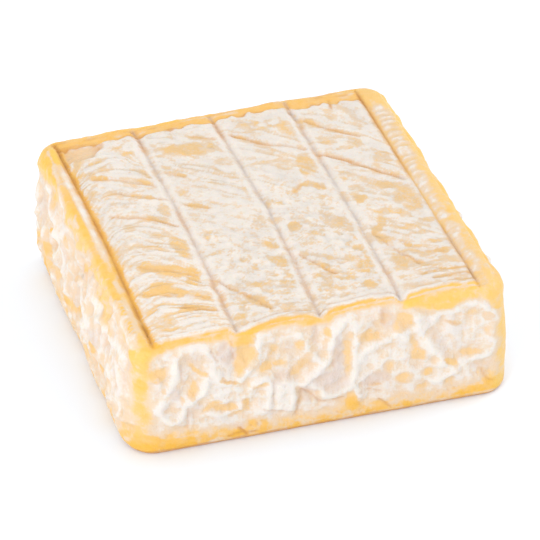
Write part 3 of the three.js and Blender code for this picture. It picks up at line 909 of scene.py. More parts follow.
            # Painted shade: grey along the bottom of each rack mark
            groove_shade = bell(aside, 0.6) * np.clip(0.8 + 0.4 * noise.at(x / 20, y / 3 + 51), 0, 1)
            skin.hollow = np.maximum(skin.hollow, (0.75 * groove_shade + 0.1 * bell(aside, 2.2)) * is_mark)
            skin.dull = np.maximum(skin.dull, 0.45 * groove_shade * np.clip(1 - colour, 0, 1) * is_mark)
            if not line.shoulders:
                skin.hollow = skin.hollow * (1 - bell(aside, 1.3))
                skin.dull = skin.dull * (1 - bell(aside, 1.3))
            white = line.shoulders * np.clip(shoulders * (0.8 + 0.4 * noise.at(x / 9, y / 4 + 22)), 0, 1)
            skin.bloom = skin.bloom + (0.95 - skin.bloom) * white
            near = bell(aside, 1.0) if line.shoulders else bell(aside - 0.35, 1.0)
            skin.bloom = skin.bloom - (0.85 - 0.45 * line.shoulders) * colour * near
            skin.dull = skin.dull * (1 - 0.5 * white)
            skin.ochre = skin.ochre + max(0.0, 1.0 - 3.0 * line.shoulders) * colour * near
            skin.strokes = skin.strokes * (1 - bell(aside, 1.1)) * (1 - white)
            skin.speckle = skin.speckle * (1 - 0.6 * white)


@dataclass(frozen=True)
class Fold:
    """A ropy fold of a side: its crest in steps along the side and up it, its height and its width."""

    height: float
    width: float
    crest: Chain


FRONT_FOLDS = table(
    Fold,
    (2.1, 1.7, ((-41.5, 36.2), (-43.7, 32), (-43.2, 28), (-45, 24), (-48, 19), (-47.5, 15), (-44, 12.3))),
    (2.3, 1.6, ((-44, 12.3), (-41.5, 13), (-41, 16), (-39.8, 18.2), (-36.6, 18.6), (-35, 21), (-34.5, 26.5))),
    (1.2, 1.6, ((-42, 35.5), (-38, 37), (-33, 37.5))),
    (1.3, 1.5, ((-34.5, 36), (-33, 33), (-31.5, 30.5), (-33, 27.5))),
    (2.2, 1.9, ((-20, 37), (-20.5, 32), (-22, 27), (-24.5, 23.2), (-27, 22.6), (-30, 24.5), (-32.5, 28))),
    (1.7, 2.2, ((-31, 19), (-27, 20), (-23, 19.5), (-20, 21))),
    (1.3, 1.2, ((-33, 17.5), (-29, 16), (-25, 17), (-22, 16.5))),
    (1.4, 1.1, ((-36, 13), (-33, 12.5), (-30, 11.5), (-26.5, 12), (-24, 14))),
    (2.2, 1.9, ((-21, 20), (-17, 21.5), (-16.3, 18), (-16.6, 13), (-18.5, 10.5))),
    (2.3, 1.9, ((-13.8, 18), (-13.5, 14), (-14, 10.8))),
    (2.6, 2.0, ((-9.6, 17.2), (-9.7, 12.5), (-10.4, 8.5))),
    (
        2.9, 1.9,
        ((7, 37.5), (4, 36.6), (2.5, 34), (1.3, 31), (0.6, 26.5), (-2.5, 21.5), (-7, 17.6), (-12.5, 20)),
    ),
    (1.9, 1.5, ((-7.5, 35), (-6, 31), (-5, 28), (-3, 25), (-1, 23))),
    (2.4, 1.6, ((6.5, 37), (8.5, 34), (8.8, 30), (8.1, 24), (8.4, 18), (7.7, 15), (8.2, 13), (10, 8.5))),
    (2.1, 1.5, ((-4.5, 17.2), (-2, 14), (-0.6, 11.8), (2, 11), (5, 11.2), (8, 14))),
    (2.0, 1.8, ((9, 22), (12, 25), (15, 26), (18, 27.5), (20, 29.6), (22, 28), (23.5, 25.5))),
    (1.2, 3.6, ((12, 21.5), (18, 22.5), (22, 21.5))),
    (1.7, 1.4, ((8, 14), (11, 15.5), (14, 18), (17, 21.5))),
    (3.0, 2.3, ((25.5, 33), (27, 29), (29, 25), (31, 21), (33, 17), (35, 13.8), (37.5, 12.5))),
    (1.1, 3.0, ((21.5, 18), (24, 14), (28, 11))),
    (1.7, 1.4, ((31, 32), (34, 34), (38, 33.3), (41, 35), (44, 33.6), (48, 31), (49.2, 26))),
    (1.8, 1.4, ((49.2, 26), (48.9, 19), (46, 15.6), (42, 14.7), (39, 13), (35, 10), (31, 9.5))),
    (0.9, 5.0, ((38, 25), (42, 24), (45, 24))),
    (1.7, 3.4, ((-11.6, 17.5), (-11.7, 14), (-12, 11.5))),
    (1.2, 1.2, ((41, 14.5), (41.5, 10.5), (43, 7.5))),
)
LEFT_FOLDS = table(
    Fold,
    (2.3, 2.3, ((-47, 30), (-45, 24), (-46, 15), (-42, 9))),
    (2.0, 2.1, ((-37, 32), (-33, 25), (-35, 18), (-29, 12))),
    (2.5, 2.3, ((-26, 30), (-21, 25), (-23, 17), (-21, 8))),
    (2.0, 2.0, ((-17, 31), (-10, 26), (-12, 18), (-7, 11))),
    (2.1, 2.0, ((-4, 31), (0, 25), (5, 22), (3, 13))),
    (2.5, 2.3, ((9, 31), (14, 25), (11, 17), (13, 7))),
    (2.3, 2.2, ((18, 30), (25, 26), (26, 19), (21, 13))),
    (2.5, 2.3, ((30, 31), (36, 26), (38, 18), (33, 8))),
    (2.1, 2.0, ((42, 29), (44, 21), (41, 12))),
    (1.3, 1.3, ((-41, 27), (-38, 19), (-39, 11))),
    (1.3, 1.3, ((-29, 24), (-28, 17), (-25, 12))),
    (1.4, 1.3, ((5, 29), (8, 22), (7, 14))),
    (1.3, 1.3, ((29, 24), (31, 18), (27, 12))),
)

FRONT_RUBS = table(
    Rub,
    (-48, 29.5, 2, 2.5, 0.75), (-46.5, 24, 0.8, 0.9, 0.5), (-44.5, 16.5, 2.6, 0.8, 0.4),
    (-38.2, 22, 1.3, 3.2, 0.7), (-37, 29, 3, 0.8, 0.75, -32), (-28, 23.8, 2.8, 0.7, 0.8, -30),
    (-24.5, 31, 1.8, 5.5, 0.85), (-22, 32, 1.6, 1.6, 0.6), (-41.5, 19.5, 0.7, 1, 0.6),
    (-33, 15.3, 2.6, 1.1, 0.7, 20), (-29, 13.6, 3, 1.1, 0.75, -10), (-23.5, 13.5, 1.3, 2.4, 0.65),
    (-26, 11, 2, 0.8, 0.5, 15), (-18, 26, 1.6, 1.8, 0.7, -30), (-13.5, 26, 2, 0.7, 0.55),
    (-15.5, 31, 1.3, 2, 0.45), (-7.6, 31.5, 1.1, 1.6, 0.6), (-6, 25.5, 1.6, 3, 0.55, -15),
    (-9, 22.5, 2.2, 1.1, 0.45), (-19, 19.8, 2.6, 0.8, 0.6), (0, 33.6, 1.1, 1.2, 0.75),
    (-1, 30.5, 0.7, 1, 0.5), (6, 25, 1.2, 7, 0.5), (7.4, 31.5, 0.7, 1.2, 0.5), (12, 29, 3, 1.8, 0.6, -10),
    (21.5, 32.5, 2.8, 2.8, 0.7), (18, 16, 1.4, 3.5, 0.4), (16.5, 22.5, 1.5, 0.8, 0.3),
    (25, 24.5, 1, 2.8, 0.55, 25), (26.8, 20.5, 1.8, 2.3, 0.75, 30), (36, 15.5, 2.4, 1, 0.85, -32),
    (36, 19, 0.7, 0.6, 0.5), (42.3, 17.4, 3, 1.2, 0.6, -10), (37.5, 28.5, 2.4, 0.6, 0.6, -28),
    (42, 30.5, 2, 0.8, 0.4, -10), (46.6, 29, 1.4, 1.4, 0.5), (37, 22.5, 0.9, 3.4, 0.3, 30),
    (16.5, 34.5, 1.6, 1.6, 0.5), (-21.5, 30, 1.2, 4, 0.5), (30, 13, 1.6, 1.3, 0.75),
    (23.3, 12.3, 2, 2, 0.75), (14.8, 12, 1.7, 0.7, 0.55, -15), (27.8, 7.6, 1.5, 1.6, 0.55),
    (7.5, 8, 1.2, 3, 0.85), (48.8, 24, 1.6, 2.5, 0.45), (46.5, 8.5, 1, 3, 0.5, 30), (36, 8, 1.4, 1.8, 0.45),
)
LEFT_RUBS = table(
    Rub,
    (-25.5, 25.3, 3.4, 1, 0.9), (-36, 15, 4.5, 3.5, 0.6), (-32, 11.5, 4, 3, 0.6), (-27, 19, 2.2, 1.6, 0.7),
    (-19.5, 16.5, 3.6, 2.4, 0.6, 10), (-6.5, 13.5, 4, 2.6, 0.65), (0.7, 16, 1.6, 1.1, 0.75),
    (3.2, 33.6, 1.4, 1.7, 0.6), (19.7, 17, 2, 1.4, 0.6), (25, 13.5, 1.8, 1.6, 0.75),
    (30.6, 10.4, 1.6, 1.4, 0.75), (17.7, 4, 3, 1.6, 0.6), (46, 8.6, 3, 2.4, 0.6), (12, 11, 3, 1.8, 0.5),
    (-14, 30, 1.6, 1.2, 0.5), (-30, 33.5, 2.4, 1.2, 0.6), (-2, 26, 1.6, 2, 0.4), (34, 20, 1.6, 2, 0.45),
    (-44, 10, 2, 2.4, 0.5), (10, 27, 2, 1.6, 0.45),
)
# Painted shadows: pinkish grey shade in the hollows beside the front's folds
FRONT_PAINTED_SHADOWS = table(
    Rub,
    (-43.5, 22.5, 1.6, 2.8, 0.7, 20), (-47.5, 16.5, 1.8, 2.4, 0.45), (-28.5, 33, 2.2, 3.4, 0.75),
    (-38, 33, 3, 2.5, 0.35), (-38, 14.5, 1.8, 2.6, 0.5), (-13, 21.5, 2.2, 2.2, 0.8),
    (3.2, 25, 1.6, 7.5, 0.9), (-2, 17, 5, 2.8, 0.85), (3, 15, 3.6, 2.8, 0.7), (14.5, 14.5, 4.2, 2.6, 0.85),
    (17, 34.5, 1.6, 3, 0.6), (-3.5, 33.5, 1.2, 3.2, 0.55), (32.5, 23, 1.6, 6, 0.5, 28),
    (-11, 30, 1.5, 3, 0.3), (-6, 13, 1.2, 3, 0.5), (40, 20.5, 3, 1.5, 0.25), (-25, 5.5, 6, 1.4, 0.3),
    (46, 11.5, 2.5, 2, 0.3),
)
# Painted shadows: pinkish grey shade in the hollows of the left side
LEFT_PAINTED_SHADOWS = table(
    Rub,
    (-40, 26, 4, 6, 0.6), (-15, 24, 3, 4, 0.45), (-2, 20, 2.4, 4, 0.5), (9, 22, 2, 3, 0.5),
    (28, 25, 6, 2.4, 0.6), (47.5, 31, 1.3, 1.6, 0.8), (43, 24, 2.6, 5, 0.5), (20, 21, 3, 2, 0.6),
    (36, 12, 2.4, 3, 0.4), (-28, 30, 3, 1.6, 0.4), (2, 30, 3, 2, 0.3),
)
# Dark lines along the edges of the front's folds and flaps: painted shadow, partly brown rind; each is also
# pressed in as a shallow groove
FRONT_GROOVES_AND_SHADOWS = table(
    Groove,
    (((-42.2, 32.5), (-41.5, 29), (-41.3, 26)), 0.3, 0.44, 0.42),
    (((-33.3, 35), (-32, 32.5), (-31, 30.8)), 0.42, 0.4, 0.42),
    (((-27.3, 36.5), (-27.2, 33.5), (-26.8, 31)), 0.36, 0.36, 0.42),
    (((-40, 16.5), (-39.6, 13), (-39.8, 9)), 0.42, 0.36, 0.56),
    (((-30, 24.6), (-26, 22.6)), 0.24, 0.36, 0.42),
    (((-15.2, 20), (-15.2, 16), (-15.6, 12.5)), 0.48, 0.24, 0.42),
    (((-18.5, 11), (-14, 9), (-10, 7.6)), 0.36, 0.36, 0.42),
    (((-7.2, 15.2), (-7.8, 10.5), (-8.6, 6.2)), 0.6, 0.4, 0.56),
    (((-6.8, 14.8), (-4.5, 12.6), (-2.8, 10.4), (-1.5, 9.4), (2, 9.3), (5, 9)), 0.48, 0.44, 0.49),
    (((1.6, 24), (1.4, 21.5)), 0.36, 0.4, 0.63),
    (((9.5, 10.2), (12, 10.6), (16.5, 8.8)), 0.3, 0.32, 0.42),
    (((15.8, 6.3), (19.4, 2.5)), 0.3, 0.6, 0.35),
    (((-24.6, 5), (-22.6, 2)), 0.35, 1.0, 0.6),
    (((-28, 2.6), (-24, 3), (-20, 2.4)), 0.2, 0.8, 0.45),
    (((16.3, 37), (16.2, 33)), 0.3, 0.36, 0.7),
    (((-3, 36), (-3.4, 32)), 0.3, 0.24, 0.63),
    (((45.8, 10.5), (47.5, 6.8), (50, 5)), 0.24, 0.44, 0.42),
    (((35.4, 29.8), (39, 27.4)), 0.18, 0.28, 0.35),
    (((13.8, 12.3), (16.5, 11.3)), 0.18, 0.32, 0.35),
)


class Side(Enum):
    """The four sides: the direction that each faces, and the one to its right, as seen from outside."""

    FRONT = ((0, -1), (1, 0))
    RIGHT = ((1, 0), (0, 1))
    BACK = ((0, 1), (-1, 0))
    LEFT = ((-1, 0), (0, -1))

    @property
    def facing(self) -> Array:
        """The direction that the side faces."""
        return np.array(self.value[0], float)

    @property
    def rightwards(self) -> Array:
        """The direction to the right along the side."""
        return np.array(self.value[1], float)


class CountingRandom:
    """A random number generator that gives the same numbers for the same seed."""

    MULTIPLIER = 48271
    MODULUS = 2147483647

    def __init__(self, seed: int) -> None:
        """Starts the count at the seed."""
        self.state = seed

    def __call__(self) -> float:
        """The next number, from 0 to 1."""
        self.state = self.state * self.MULTIPLIER % self.MODULUS
        return self.state / self.MODULUS


@dataclass(frozen=True)
class Wander:
    """The rule by which the folds of the sides that the front doesn't show wander down them."""

    folds: int = 10
    spans: int = 5
    sway: float = 5.5
    height: float = 2.3
    width: float = 2.7
    start: float = 34.5
    end: float = 5.0
    corner: float = 5.0  # kept clear at each end of the side

    def make(self, length: float, seed: int) -> tuple[Fold, ...]:
        """Makes the folds of one side.

        Args:
            length: How long the side is.
            seed: Which random numbers to use.

        Returns:
            The folds, from left to right.
        """
        draw = CountingRandom(seed)
        folds = []
        clear = length - 2 * self.corner
        for number in range(self.folds):
            s = clear * ((number + 0.5) / self.folds - 0.5) + 4 * (draw() - 0.5)
            z = self.start - 8 * draw() * draw()
            drop = (z - self.end - 4 * draw()) / self.spans
            crest = [(s, z)]
            for _ in range(self.spans):
                s += 2 * self.sway * (draw() - 0.5)
                z -= drop * (0.6 + 0.8 * draw())
                crest.append((s, z))
            size = 0.7 + 0.5 * draw()
            folds.append(Fold(self.height * size, 0.8 * self.width * size, tuple(crest)))
        return tuple(folds)


@dataclass(frozen=True)
class SidePlaces:
    """Where points lie on a side, and what its relief and its colours share there."""

    s: Array  # along the side
    z: Array  # the height above the base
    along: Array  # as s, but of its own on each side, for the noises
    from_corner: Array  # how far from the nearer corner
    warp_s: Array  # how far a shape's ragged outline is pushed aside
    warp_z: Array
    band: Array  # how high up the yellow band under the top begins
    in_band: Array  # 1 on that band
    in_base: Array  # 1 on the orange band above the base
    corner: Array  # 1 at a corner
    bare: Array  # 1 on any of these
    lumps: Array  # noises, from coarse to fine
    puckers: Array
    patches: Array
    fine: Array
    crumple: Array
    flecks: Array
    swirls: Array
    rubs: Array  # how much of the bloom is rubbed off
    stained: Array  # 1 in a stain


@dataclass(frozen=True)
class SideFace:
    """One side: a bulge, ropy folds, a smooth yellow band under the top and an orange one above the base."""

    side: Side
    length: float
    bulge: float
    folds: tuple[Fold, ...]
    rubs: tuple[Rub, ...]
    grooves: tuple[Groove, ...]
    painted_shadows: tuple[Rub, ...]  # painted shadows: pinkish grey shade in the hollows beside the folds
    stains: tuple[Rub, ...]  # places of deep yellow-orange rind
    band: Chain  # how far down the yellow band under the top reaches, along the side
    base: Chain  # how far up the orange band above the base reaches, along the side
    noise: SoftNoise
    veins: tuple[Fold, ...] = ()  # thin white raised lines
    bulge_profile: Chain = ((0, 0.1), (4, 0.7), (12, 1), (18, 0.9), (26, 0.5), (35, 0))
    swell: Chain = ((0, 0), (1, 0))  # how far the side stands out further, along it
    swell_level: float = 16.0  # how high up it does so most
    waver: float = 0.3  # the height of its slow waves
    over: tuple[float, float] = (0.95, 1.35)  # where its skin ends on the top's rounded edge, as angles
    hollow_depth: float = 0.8
    fold_share: float = 0.62
    slimness: float = 1.2
    lumpiness: float = 0.3
    bloom_level: float = 0.61
    marbling: float = 0.12
    lip: float = 0.3  # the height of the yellow band's own swelling
    glow: float = 0.5  # how golden its right corner and the band next to it are
    rim: float = 0.0  # the height of a rim along the top's edge
    folded_from: float = 5.0
    fade: float = 4.5

    def places(self, s: Array, z: Array) -> SidePlaces:
        """Works out what the side's relief and colours share.

        Args:
            s: Where the points lie along the side.
            z: Their height above the base.

        Returns:
            The side's places.
        """
        noise = self.noise
        along = s + 40.0 * list(Side).index(self.side)
        from_corner = self.length / 2 - np.abs(s)
        warp_s = 0.8 * noise.at(along / 4, z / 4) + 0.45 * noise.at(along / 1.5, z / 1.5 + 44)
        warp_z = 0.8 * noise.at(along / 4, z / 4 + 30) + 0.45 * noise.at(along / 1.5 + 9, z / 1.5 + 44)
        band = through(self.band, s + 0.6 * warp_s) + 0.35 * warp_z
        base = through(self.base, s) + 2.0 * noise.rough(along / 5, z / 5 + 70)
        in_band, in_base = ramp(z - band, -0.9, 0.9), ramp(-z, -base - 2.0, 3.0 - base)
        corner = ramp(-from_corner + 1.3 * warp_s, -6.5, -1.8)
        patches = noise.rough(along / 3, z / 3 + 20)
        flecks = noise.rough(along / 1.6, z / 1.3 + 99)
        stained = rubbed(self.stains, s + 1.1 * warp_s, z + 0.8 * warp_z)
        turns = 1.7 * (noise.at(along / 9 + 55, z / 9) + 0.5 * noise.at(along / 4.5 + 12, z / 4.5 + 9))
        return SidePlaces(
            s=s, z=z, along=along, from_corner=from_corner, warp_s=warp_s, warp_z=warp_z,
            band=band, in_band=in_band, in_base=in_base, corner=corner,
            bare=np.maximum.reduce([in_band, in_base, corner]),
            lumps=noise.rough(along / 6, z / 6 + 11),
            puckers=1 - 2.2 * np.abs(noise.at(along / 4.5 + 70, z / 4.5)),
            patches=patches,
            fine=noise.rough(along / 2.2, z / 2.2 + 5),
            crumple=1 - 2.2 * np.abs(noise.at(along / 2.1 + 31, z / 2.1 + 14)),
            flecks=flecks,
            swirls=np.cos(2 * np.pi * turns),
            rubs=rubbed(self.rubs, s + warp_s, z + warp_z),
            stained=stained * (1 - 0.6 * self.high(z) * ramp(flecks + 0.8 * patches, -0.15, 0.4)),
        )

    @staticmethod
    def high(z: Array) -> Array:
        """1 on the upper part of the side, where stains are yellower."""
        return ramp(z, 30, 34)

    def folded(self, at: SidePlaces) -> Array:
        """How folded the side is: 0 at its corners and on the bands above and below."""
        folded = ramp(at.z, self.folded_from - self.fade / 2, self.folded_from + self.fade)
        return folded * ramp(at.band - at.z, -0.6, 2.4) * ramp(at.from_corner, 1.5, 7.0)

    def ridges(self, at: SidePlaces) -> tuple[Array, Array]:
        """The ropy folds.

        Args:
            at: Where the points lie.

        Returns:
            Their height, and 1 along their crests.
        """
        noise, ridge, crest = self.noise, np.zeros(len(at.s)), np.zeros(len(at.s))
        bend_s = at.s + 0.7 * noise.at(at.along / 4, at.z / 4)
        bend_z = at.z + 0.7 * noise.at(at.along / 4, at.z / 4 + 30)
        for fold in self.folds:
            away = distance_to(smooth_chain(fold.crest), bend_s, bend_z) / (self.slimness * fold.width)
            ridge += (self.fold_share * fold.height * np.exp(-(away**1.5))) ** 3
            crest = np.maximum(crest, np.exp(-((away / 0.55) ** 2)) * min(1.0, fold.height / 2.2))
        return ridge ** (1 / 3), crest

    def raised_veins(self, at: SidePlaces) -> tuple[Array, Array]:
        """The thin raised lines.

        Args:
            at: Where the points lie.

        Returns:
            Their height, and how white they are.
        """
        raised, vein = np.zeros(len(at.s)), np.zeros(len(at.s))
        for fold in self.veins:
            chain = smooth_chain(fold.crest)
            away = distance_to(chain, at.s + 0.4 * at.warp_s, at.z + 0.4 * at.warp_z) / fold.width
            vein = np.maximum(vein, min(1.0, 0.3 + 1.4 * fold.height) * np.exp(-(away**2)))
            raised = np.maximum(raised, fold.height * np.exp(-(away**2)))
        return raised, vein

    def pressed_grooves(self, at: SidePlaces) -> tuple[Array, Array]:
        """The grooves.

        Args:
            at: Where the points lie.

        Returns:
            Their depth, and how dark they are.
        """
        sunk, crease = np.zeros(len(at.s)), np.zeros(len(at.s))
        for groove in self.grooves:
            chain = smooth_chain(groove.points)
            near = bell(distance_to(chain, at.s + 0.4 * at.warp_s, at.z + 0.4 * at.warp_z), groove.half_width)
            sunk = np.maximum(sunk, groove.depth * near)
            crease = np.maximum(crease, groove.colour * near**1.4)
        return sunk, crease

    def rise(self, at: SidePlaces, folded: Array, ridge: Array) -> Array:
        """How far the side stands out, without its grooves and veins.

        Args:
            at: Where the points lie.
            folded: How folded the side is there.
            ridge: The folds' height.

        Returns:
            The distance out from the plain slab, in millimetres.
        """
        rise = self.bulge * through(self.bulge_profile, at.z) * ramp(at.from_corner, -5, 12)
        rise += through(self.swell, at.s) * bell(at.z - self.swell_level, 15)
        rise += self.waver * self.noise.rough(at.along / 9, at.z / 28) * ramp(at.z, 0, 6)
        relief = ridge - self.hollow_depth + self.lumpiness * (at.lumps + at.puckers)
        relief += 0.19 * at.fine + 0.17 * at.crumple + 0.14 * at.swirls
        rise += folded * relief
        rise += (1 - folded) * (0.15 * at.lumps + 0.1 * at.fine + 0.05 * at.swirls)
        rise += self.lip * bell(at.z - at.band - 1.4, 1.3) * ramp(at.from_corner, 0, 4)
        rim = self.rim + 0.2 * at.fine * (self.rim > 0)
        return rise + rim * bell(at.z - 39.7, 1.9) * ramp(at.from_corner, 0, 7)

    def bloom(self, at: SidePlaces, crest: Array, vein: Array) -> Array:
        """How much bloom lies on the side: most on crests and veins, least on the bands, rubs and stains.

        Args:
            at: Where the points lie.
            crest: 1 along the folds' crests.
            vein: 1 along the veins.

        Returns:
            The bloom.
        """
        bloom = self.bloom_level + 0.52 * self.fold_share * crest + 0.12 * at.lumps + 0.1 * at.fine
        bloom += 0.06 * at.puckers + 0.1 * at.crumple + 0.08 * at.swirls - 0.78 * at.rubs
        left = 0.14 + 0.14 * at.in_base + (0.3 + 0.03 * at.in_base) * at.patches * (1 - 0.6 * at.corner)
        left += self.marbling * ramp(self.noise.rough(at.along / 2.4 + 33, at.z / 2.0 + 88), -0.05, 0.5)
        left += 0.24 * at.in_base * at.flecks * ramp(at.z, 1, 3)
        left += 0.3 * at.in_band * at.flecks * ramp(at.s, 22, 30)
        bloom = bloom * (1 - at.bare) + at.bare * left - 0.75 * at.stained
        return bloom + (0.88 - bloom) * vein

    def ochre(self, at: SidePlaces) -> Array:
        """How deep the rind's yellow-orange is: most on the bands, at the corners and in stains.

        Args:
            at: Where the points lie.

        Returns:
            The depth of colour.
        """
        low = ramp(-at.z, -4.5, -1.5)
        ochre = np.maximum.reduce([0.55 * at.in_band, 0.55 * at.in_base + 0.35 * low, 0.6 * at.corner])
        ochre += 0.4 * at.rubs * (1 - at.bare) - 0.2 * at.patches * at.bare * (1 - at.corner)
        return ochre + (0.5 - 0.08 * self.high(at.z)) * at.stained

    def golden(self, at: SidePlaces) -> Array:
        """How golden the rind is: at the right corner, and less so on the band next to it and in stains.

        Args:
            at: Where the points lie.

        Returns:
            The share of gold.
        """
        at_right = np.maximum(at.corner * ramp(at.s, -20, 20), 0.5 * at.in_band * ramp(at.s, 0, 40))
        at_left = 0.12 * at.corner * ramp(-at.s, 0, 20) * ramp(at.z, 4, 12)
        return self.glow * at_right + at_left + 0.32 * at.stained * self.high(at.z)

    def skin(self, s: Array, z: Array) -> Skin:
        """The skin of the side.

        Args:
            s: Where the points lie along the side, to the right of its middle as seen from outside.
            z: Their height above the base.

        Returns:
            The skin at the points.
        """
        noise, at = self.noise, self.places(s, z)
        folded = self.folded(at)
        ridge, crest = self.ridges(at)
        raised, vein = self.raised_veins(at)
        sunk, crease = self.pressed_grooves(at)
        skin = Skin.plain(len(s))
        skin.rise = self.rise(at, folded, ridge) - sunk + raised
        skin.bloom = self.bloom(at, crest, vein)
        skin.ochre = self.ochre(at)
        skin.golden = self.golden(at)
        # Painted shade: pinkish grey in the hollows and in the painted shadows beside the folds, less on
        # crests, veins and bands; some grey in the base band's patches
        painted_shadows = rubbed(self.painted_shadows, s + 1.2 * at.warp_s, z + 1.2 * at.warp_z)
        hollow = 0.28 + 0.12 * folded * at.lumps + 0.7 * painted_shadows
        hollow *= (1 - 0.8 * crest) * (1 - at.bare) * (1 - vein) * (1 - 0.8 * at.stained)
        skin.hollow = hollow + 0.25 * at.in_base * ramp(at.patches + at.flecks, 0, 0.6) * ramp(z, 2, 4)
        specks = ramp(noise.at(at.along / 0.9, z / 0.7 + 120), 0.65, 1.0) * at.in_base
        # Painted contact shadow: a dark line along the bottom, partly brown rind
        low_shadow_line = bell(z - 1.2 - 0.4 * at.patches, 0.4) * ramp(noise.at(at.along / 4, z / 4 + 33), -0.5, 0.4)
        contact_shadow = ramp(-z, -1.6, -0.5)
        skin.crease = np.maximum.reduce([crease, 0.5 * specks, 0.95 * low_shadow_line, contact_shadow])
        skin.strokes = np.full(len(s), 0.1)
        skin.speckle = 0.38 * (1 - at.bare) + 0.24 * at.bare
        skin.grain_x, skin.grain_y = z, (at.along + 300.0) / 1.3
        return skin


FRONT_BAND: Chain = (
    (-54, 32), (-50, 36), (-45, 37), (-42, 37.9), (-38, 38.1), (-33, 37.6), (-28.3, 37.6), (-27, 35),
    (-21, 35), (-19.8, 37.8), (-15, 38.3), (-9, 38.2), (-5, 37), (-2, 37.1), (1, 36.7), (4, 38.6), (8, 39),
    (15, 39.1), (20, 38.8), (23, 37.4), (25, 36.3), (28, 35.9), (30, 34.5), (33, 33.8), (36, 34.2),
    (40, 35.4), (45, 35.4), (47, 34), (49.5, 30), (54, 28),
)
FRONT_BASE: Chain = (
    (-54, 10), (-45, 8), (-38, 8.5), (-30, 7), (-22, 8.5), (-14, 6.5), (-8, 7), (0, 5.5), (8, 8.5), (12, 6),
    (20, 7), (30, 6), (40, 6.5), (48, 8), (54, 10),
)
LEFT_BAND: Chain = (
    (-52, 30), (-46, 35.5), (-40, 37.5), (-30, 38.5), (-20, 38.7), (-14, 39), (-2, 39.6), (12, 39.4),
    (20, 39.2), (30, 39), (40, 38.6), (46, 37.5), (49, 33), (52, 30),
)
LEFT_BASE: Chain = (
    (-52, 8), (-40, 14), (-34, 12), (-26, 9), (-18, 13), (-6, 11), (4, 8), (20, 8), (32, 8), (40, 7),
    (52, 10),
)
WAVY_BAND: Chain = (
    (-52, 32), (-40, 36.5), (-30, 35), (-18, 38), (-6, 36.5), (8, 38.3), (20, 35.5), (32, 37.5), (52, 32),
)
WAVY_BASE: Chain = ((-54, 10), (-40, 8), (-25, 9), (-10, 6.5), (5, 8.5), (20, 7), (35, 9), (54, 10))
LEFT_VEINS = table(
    Fold,
    (0.3, 0.8, ((-46, 41), (-42, 40.7), (-36, 40.3), (-31, 39.8), (-25, 38.8), (-20, 36.8), (-17.5, 34))),
    (0.25, 0.5, ((-12.5, 40.2), (-10, 39.4), (-7.5, 39.6))),
    (0.25, 0.5, ((-10, 39.4), (-9.6, 38.2))),
    (0.6, 1.5, ((-36, 34), (-30, 31.5), (-22, 27.7), (-14, 20.3), (-9, 15))),
    (0.5, 1.5, ((16, 31), (24, 28.8), (32, 29), (38, 32), (44, 33))),
    (0.6, 1.4, ((2, 21), (7, 17.5), (12, 19), (16, 24))),
    (0.3, 0.7, ((29, 38.9), (33, 38.7), (40, 38.3), (47, 37.6))),
    (0.4, 0.9, ((36, 22), (40, 17), (43, 12))),
    *(
        (0.22, 0.42, ((s, 38.9), (s + 2.3, 41.2)))
        for s in (28.6, 30.2, 32.1, 33.5, 35.3, 36.8, 38.7, 40.1, 41.8, 43.6)
    ),
)
FRONT_STAINS = table(
    Rub,
    (-21, 38.8, 4, 0.9, 0.7, 10), (25.5, 38.2, 3.5, 1, 0.8, 20), (44, 39.5, 4, 0.8, 0.5, 10),
    (-36, 39.4, 6, 0.7, 0.5), (-52.5, 26.5, 1.4, 2, 0.6), (-52, 37, 2.5, 2, 0.3), (-51, 4.5, 4, 3, 0.6),
    (-40, 3, 9, 1.6, 0.35), (51, 4, 3, 2, 0.4), (-24, 3.2, 1.4, 1, 0.8), (8, 7, 2, 2.6, 0.5),
    (44, 3, 5, 1.2, 0.4), (8, 39.9, 5, 0.6, 0.4, 5), (-8, 39.6, 7, 0.7, 0.4),
)
LEFT_STAINS = table(
    Rub,
    (-43, 38, 6.5, 3.6, 0.9), (-31, 37.4, 7, 2.4, 0.75, 3), (-16.4, 36.4, 1.5, 1.5, 0.9),
    (-8, 38.6, 11, 3.4, 0.8, 3), (3.2, 33.6, 1.6, 1.7, 0.6), (13, 39, 5.4, 2.6, 0.75),
    (23, 34.6, 8.5, 4.4, 0.7, -22), (22, 40.4, 9, 0.9, 0.6), (37, 38.2, 7, 1.1, 0.6, -8),
    (38, 40.3, 8, 1.2, 0.5), (50.5, 35, 2, 4, 0.35), (48, 5, 4, 3, 0.5), (-25.5, 25.3, 3, 0.9, 0.8),
    (25, 13.5, 1.4, 1.2, 0.6), (30.6, 10.4, 1.2, 1.1, 0.6), (0.7, 16, 1.3, 0.9, 0.6),
    (19.7, 17, 1.5, 1.1, 0.5), (-24.7, 25.3, 2.4, 1.4, 0.5), (-30.7, 16.7, 2.6, 1.8, 0.5),
    (-11.2, 13, 2.4, 1.8, 0.5), (2.4, 17.2, 1.8, 1.4, 0.4),
)


def srgb(red: int, green: int, blue: int) -> Colour:
    """A colour of 0 to 255 as seen on a screen, as linear light."""
    shares = [value / 255 for value in (red, green, blue)]
    return tuple(v / 12.92 if v <= 0.04045 else ((v + 0.055) / 1.055) ** 2.4 for v in shares)


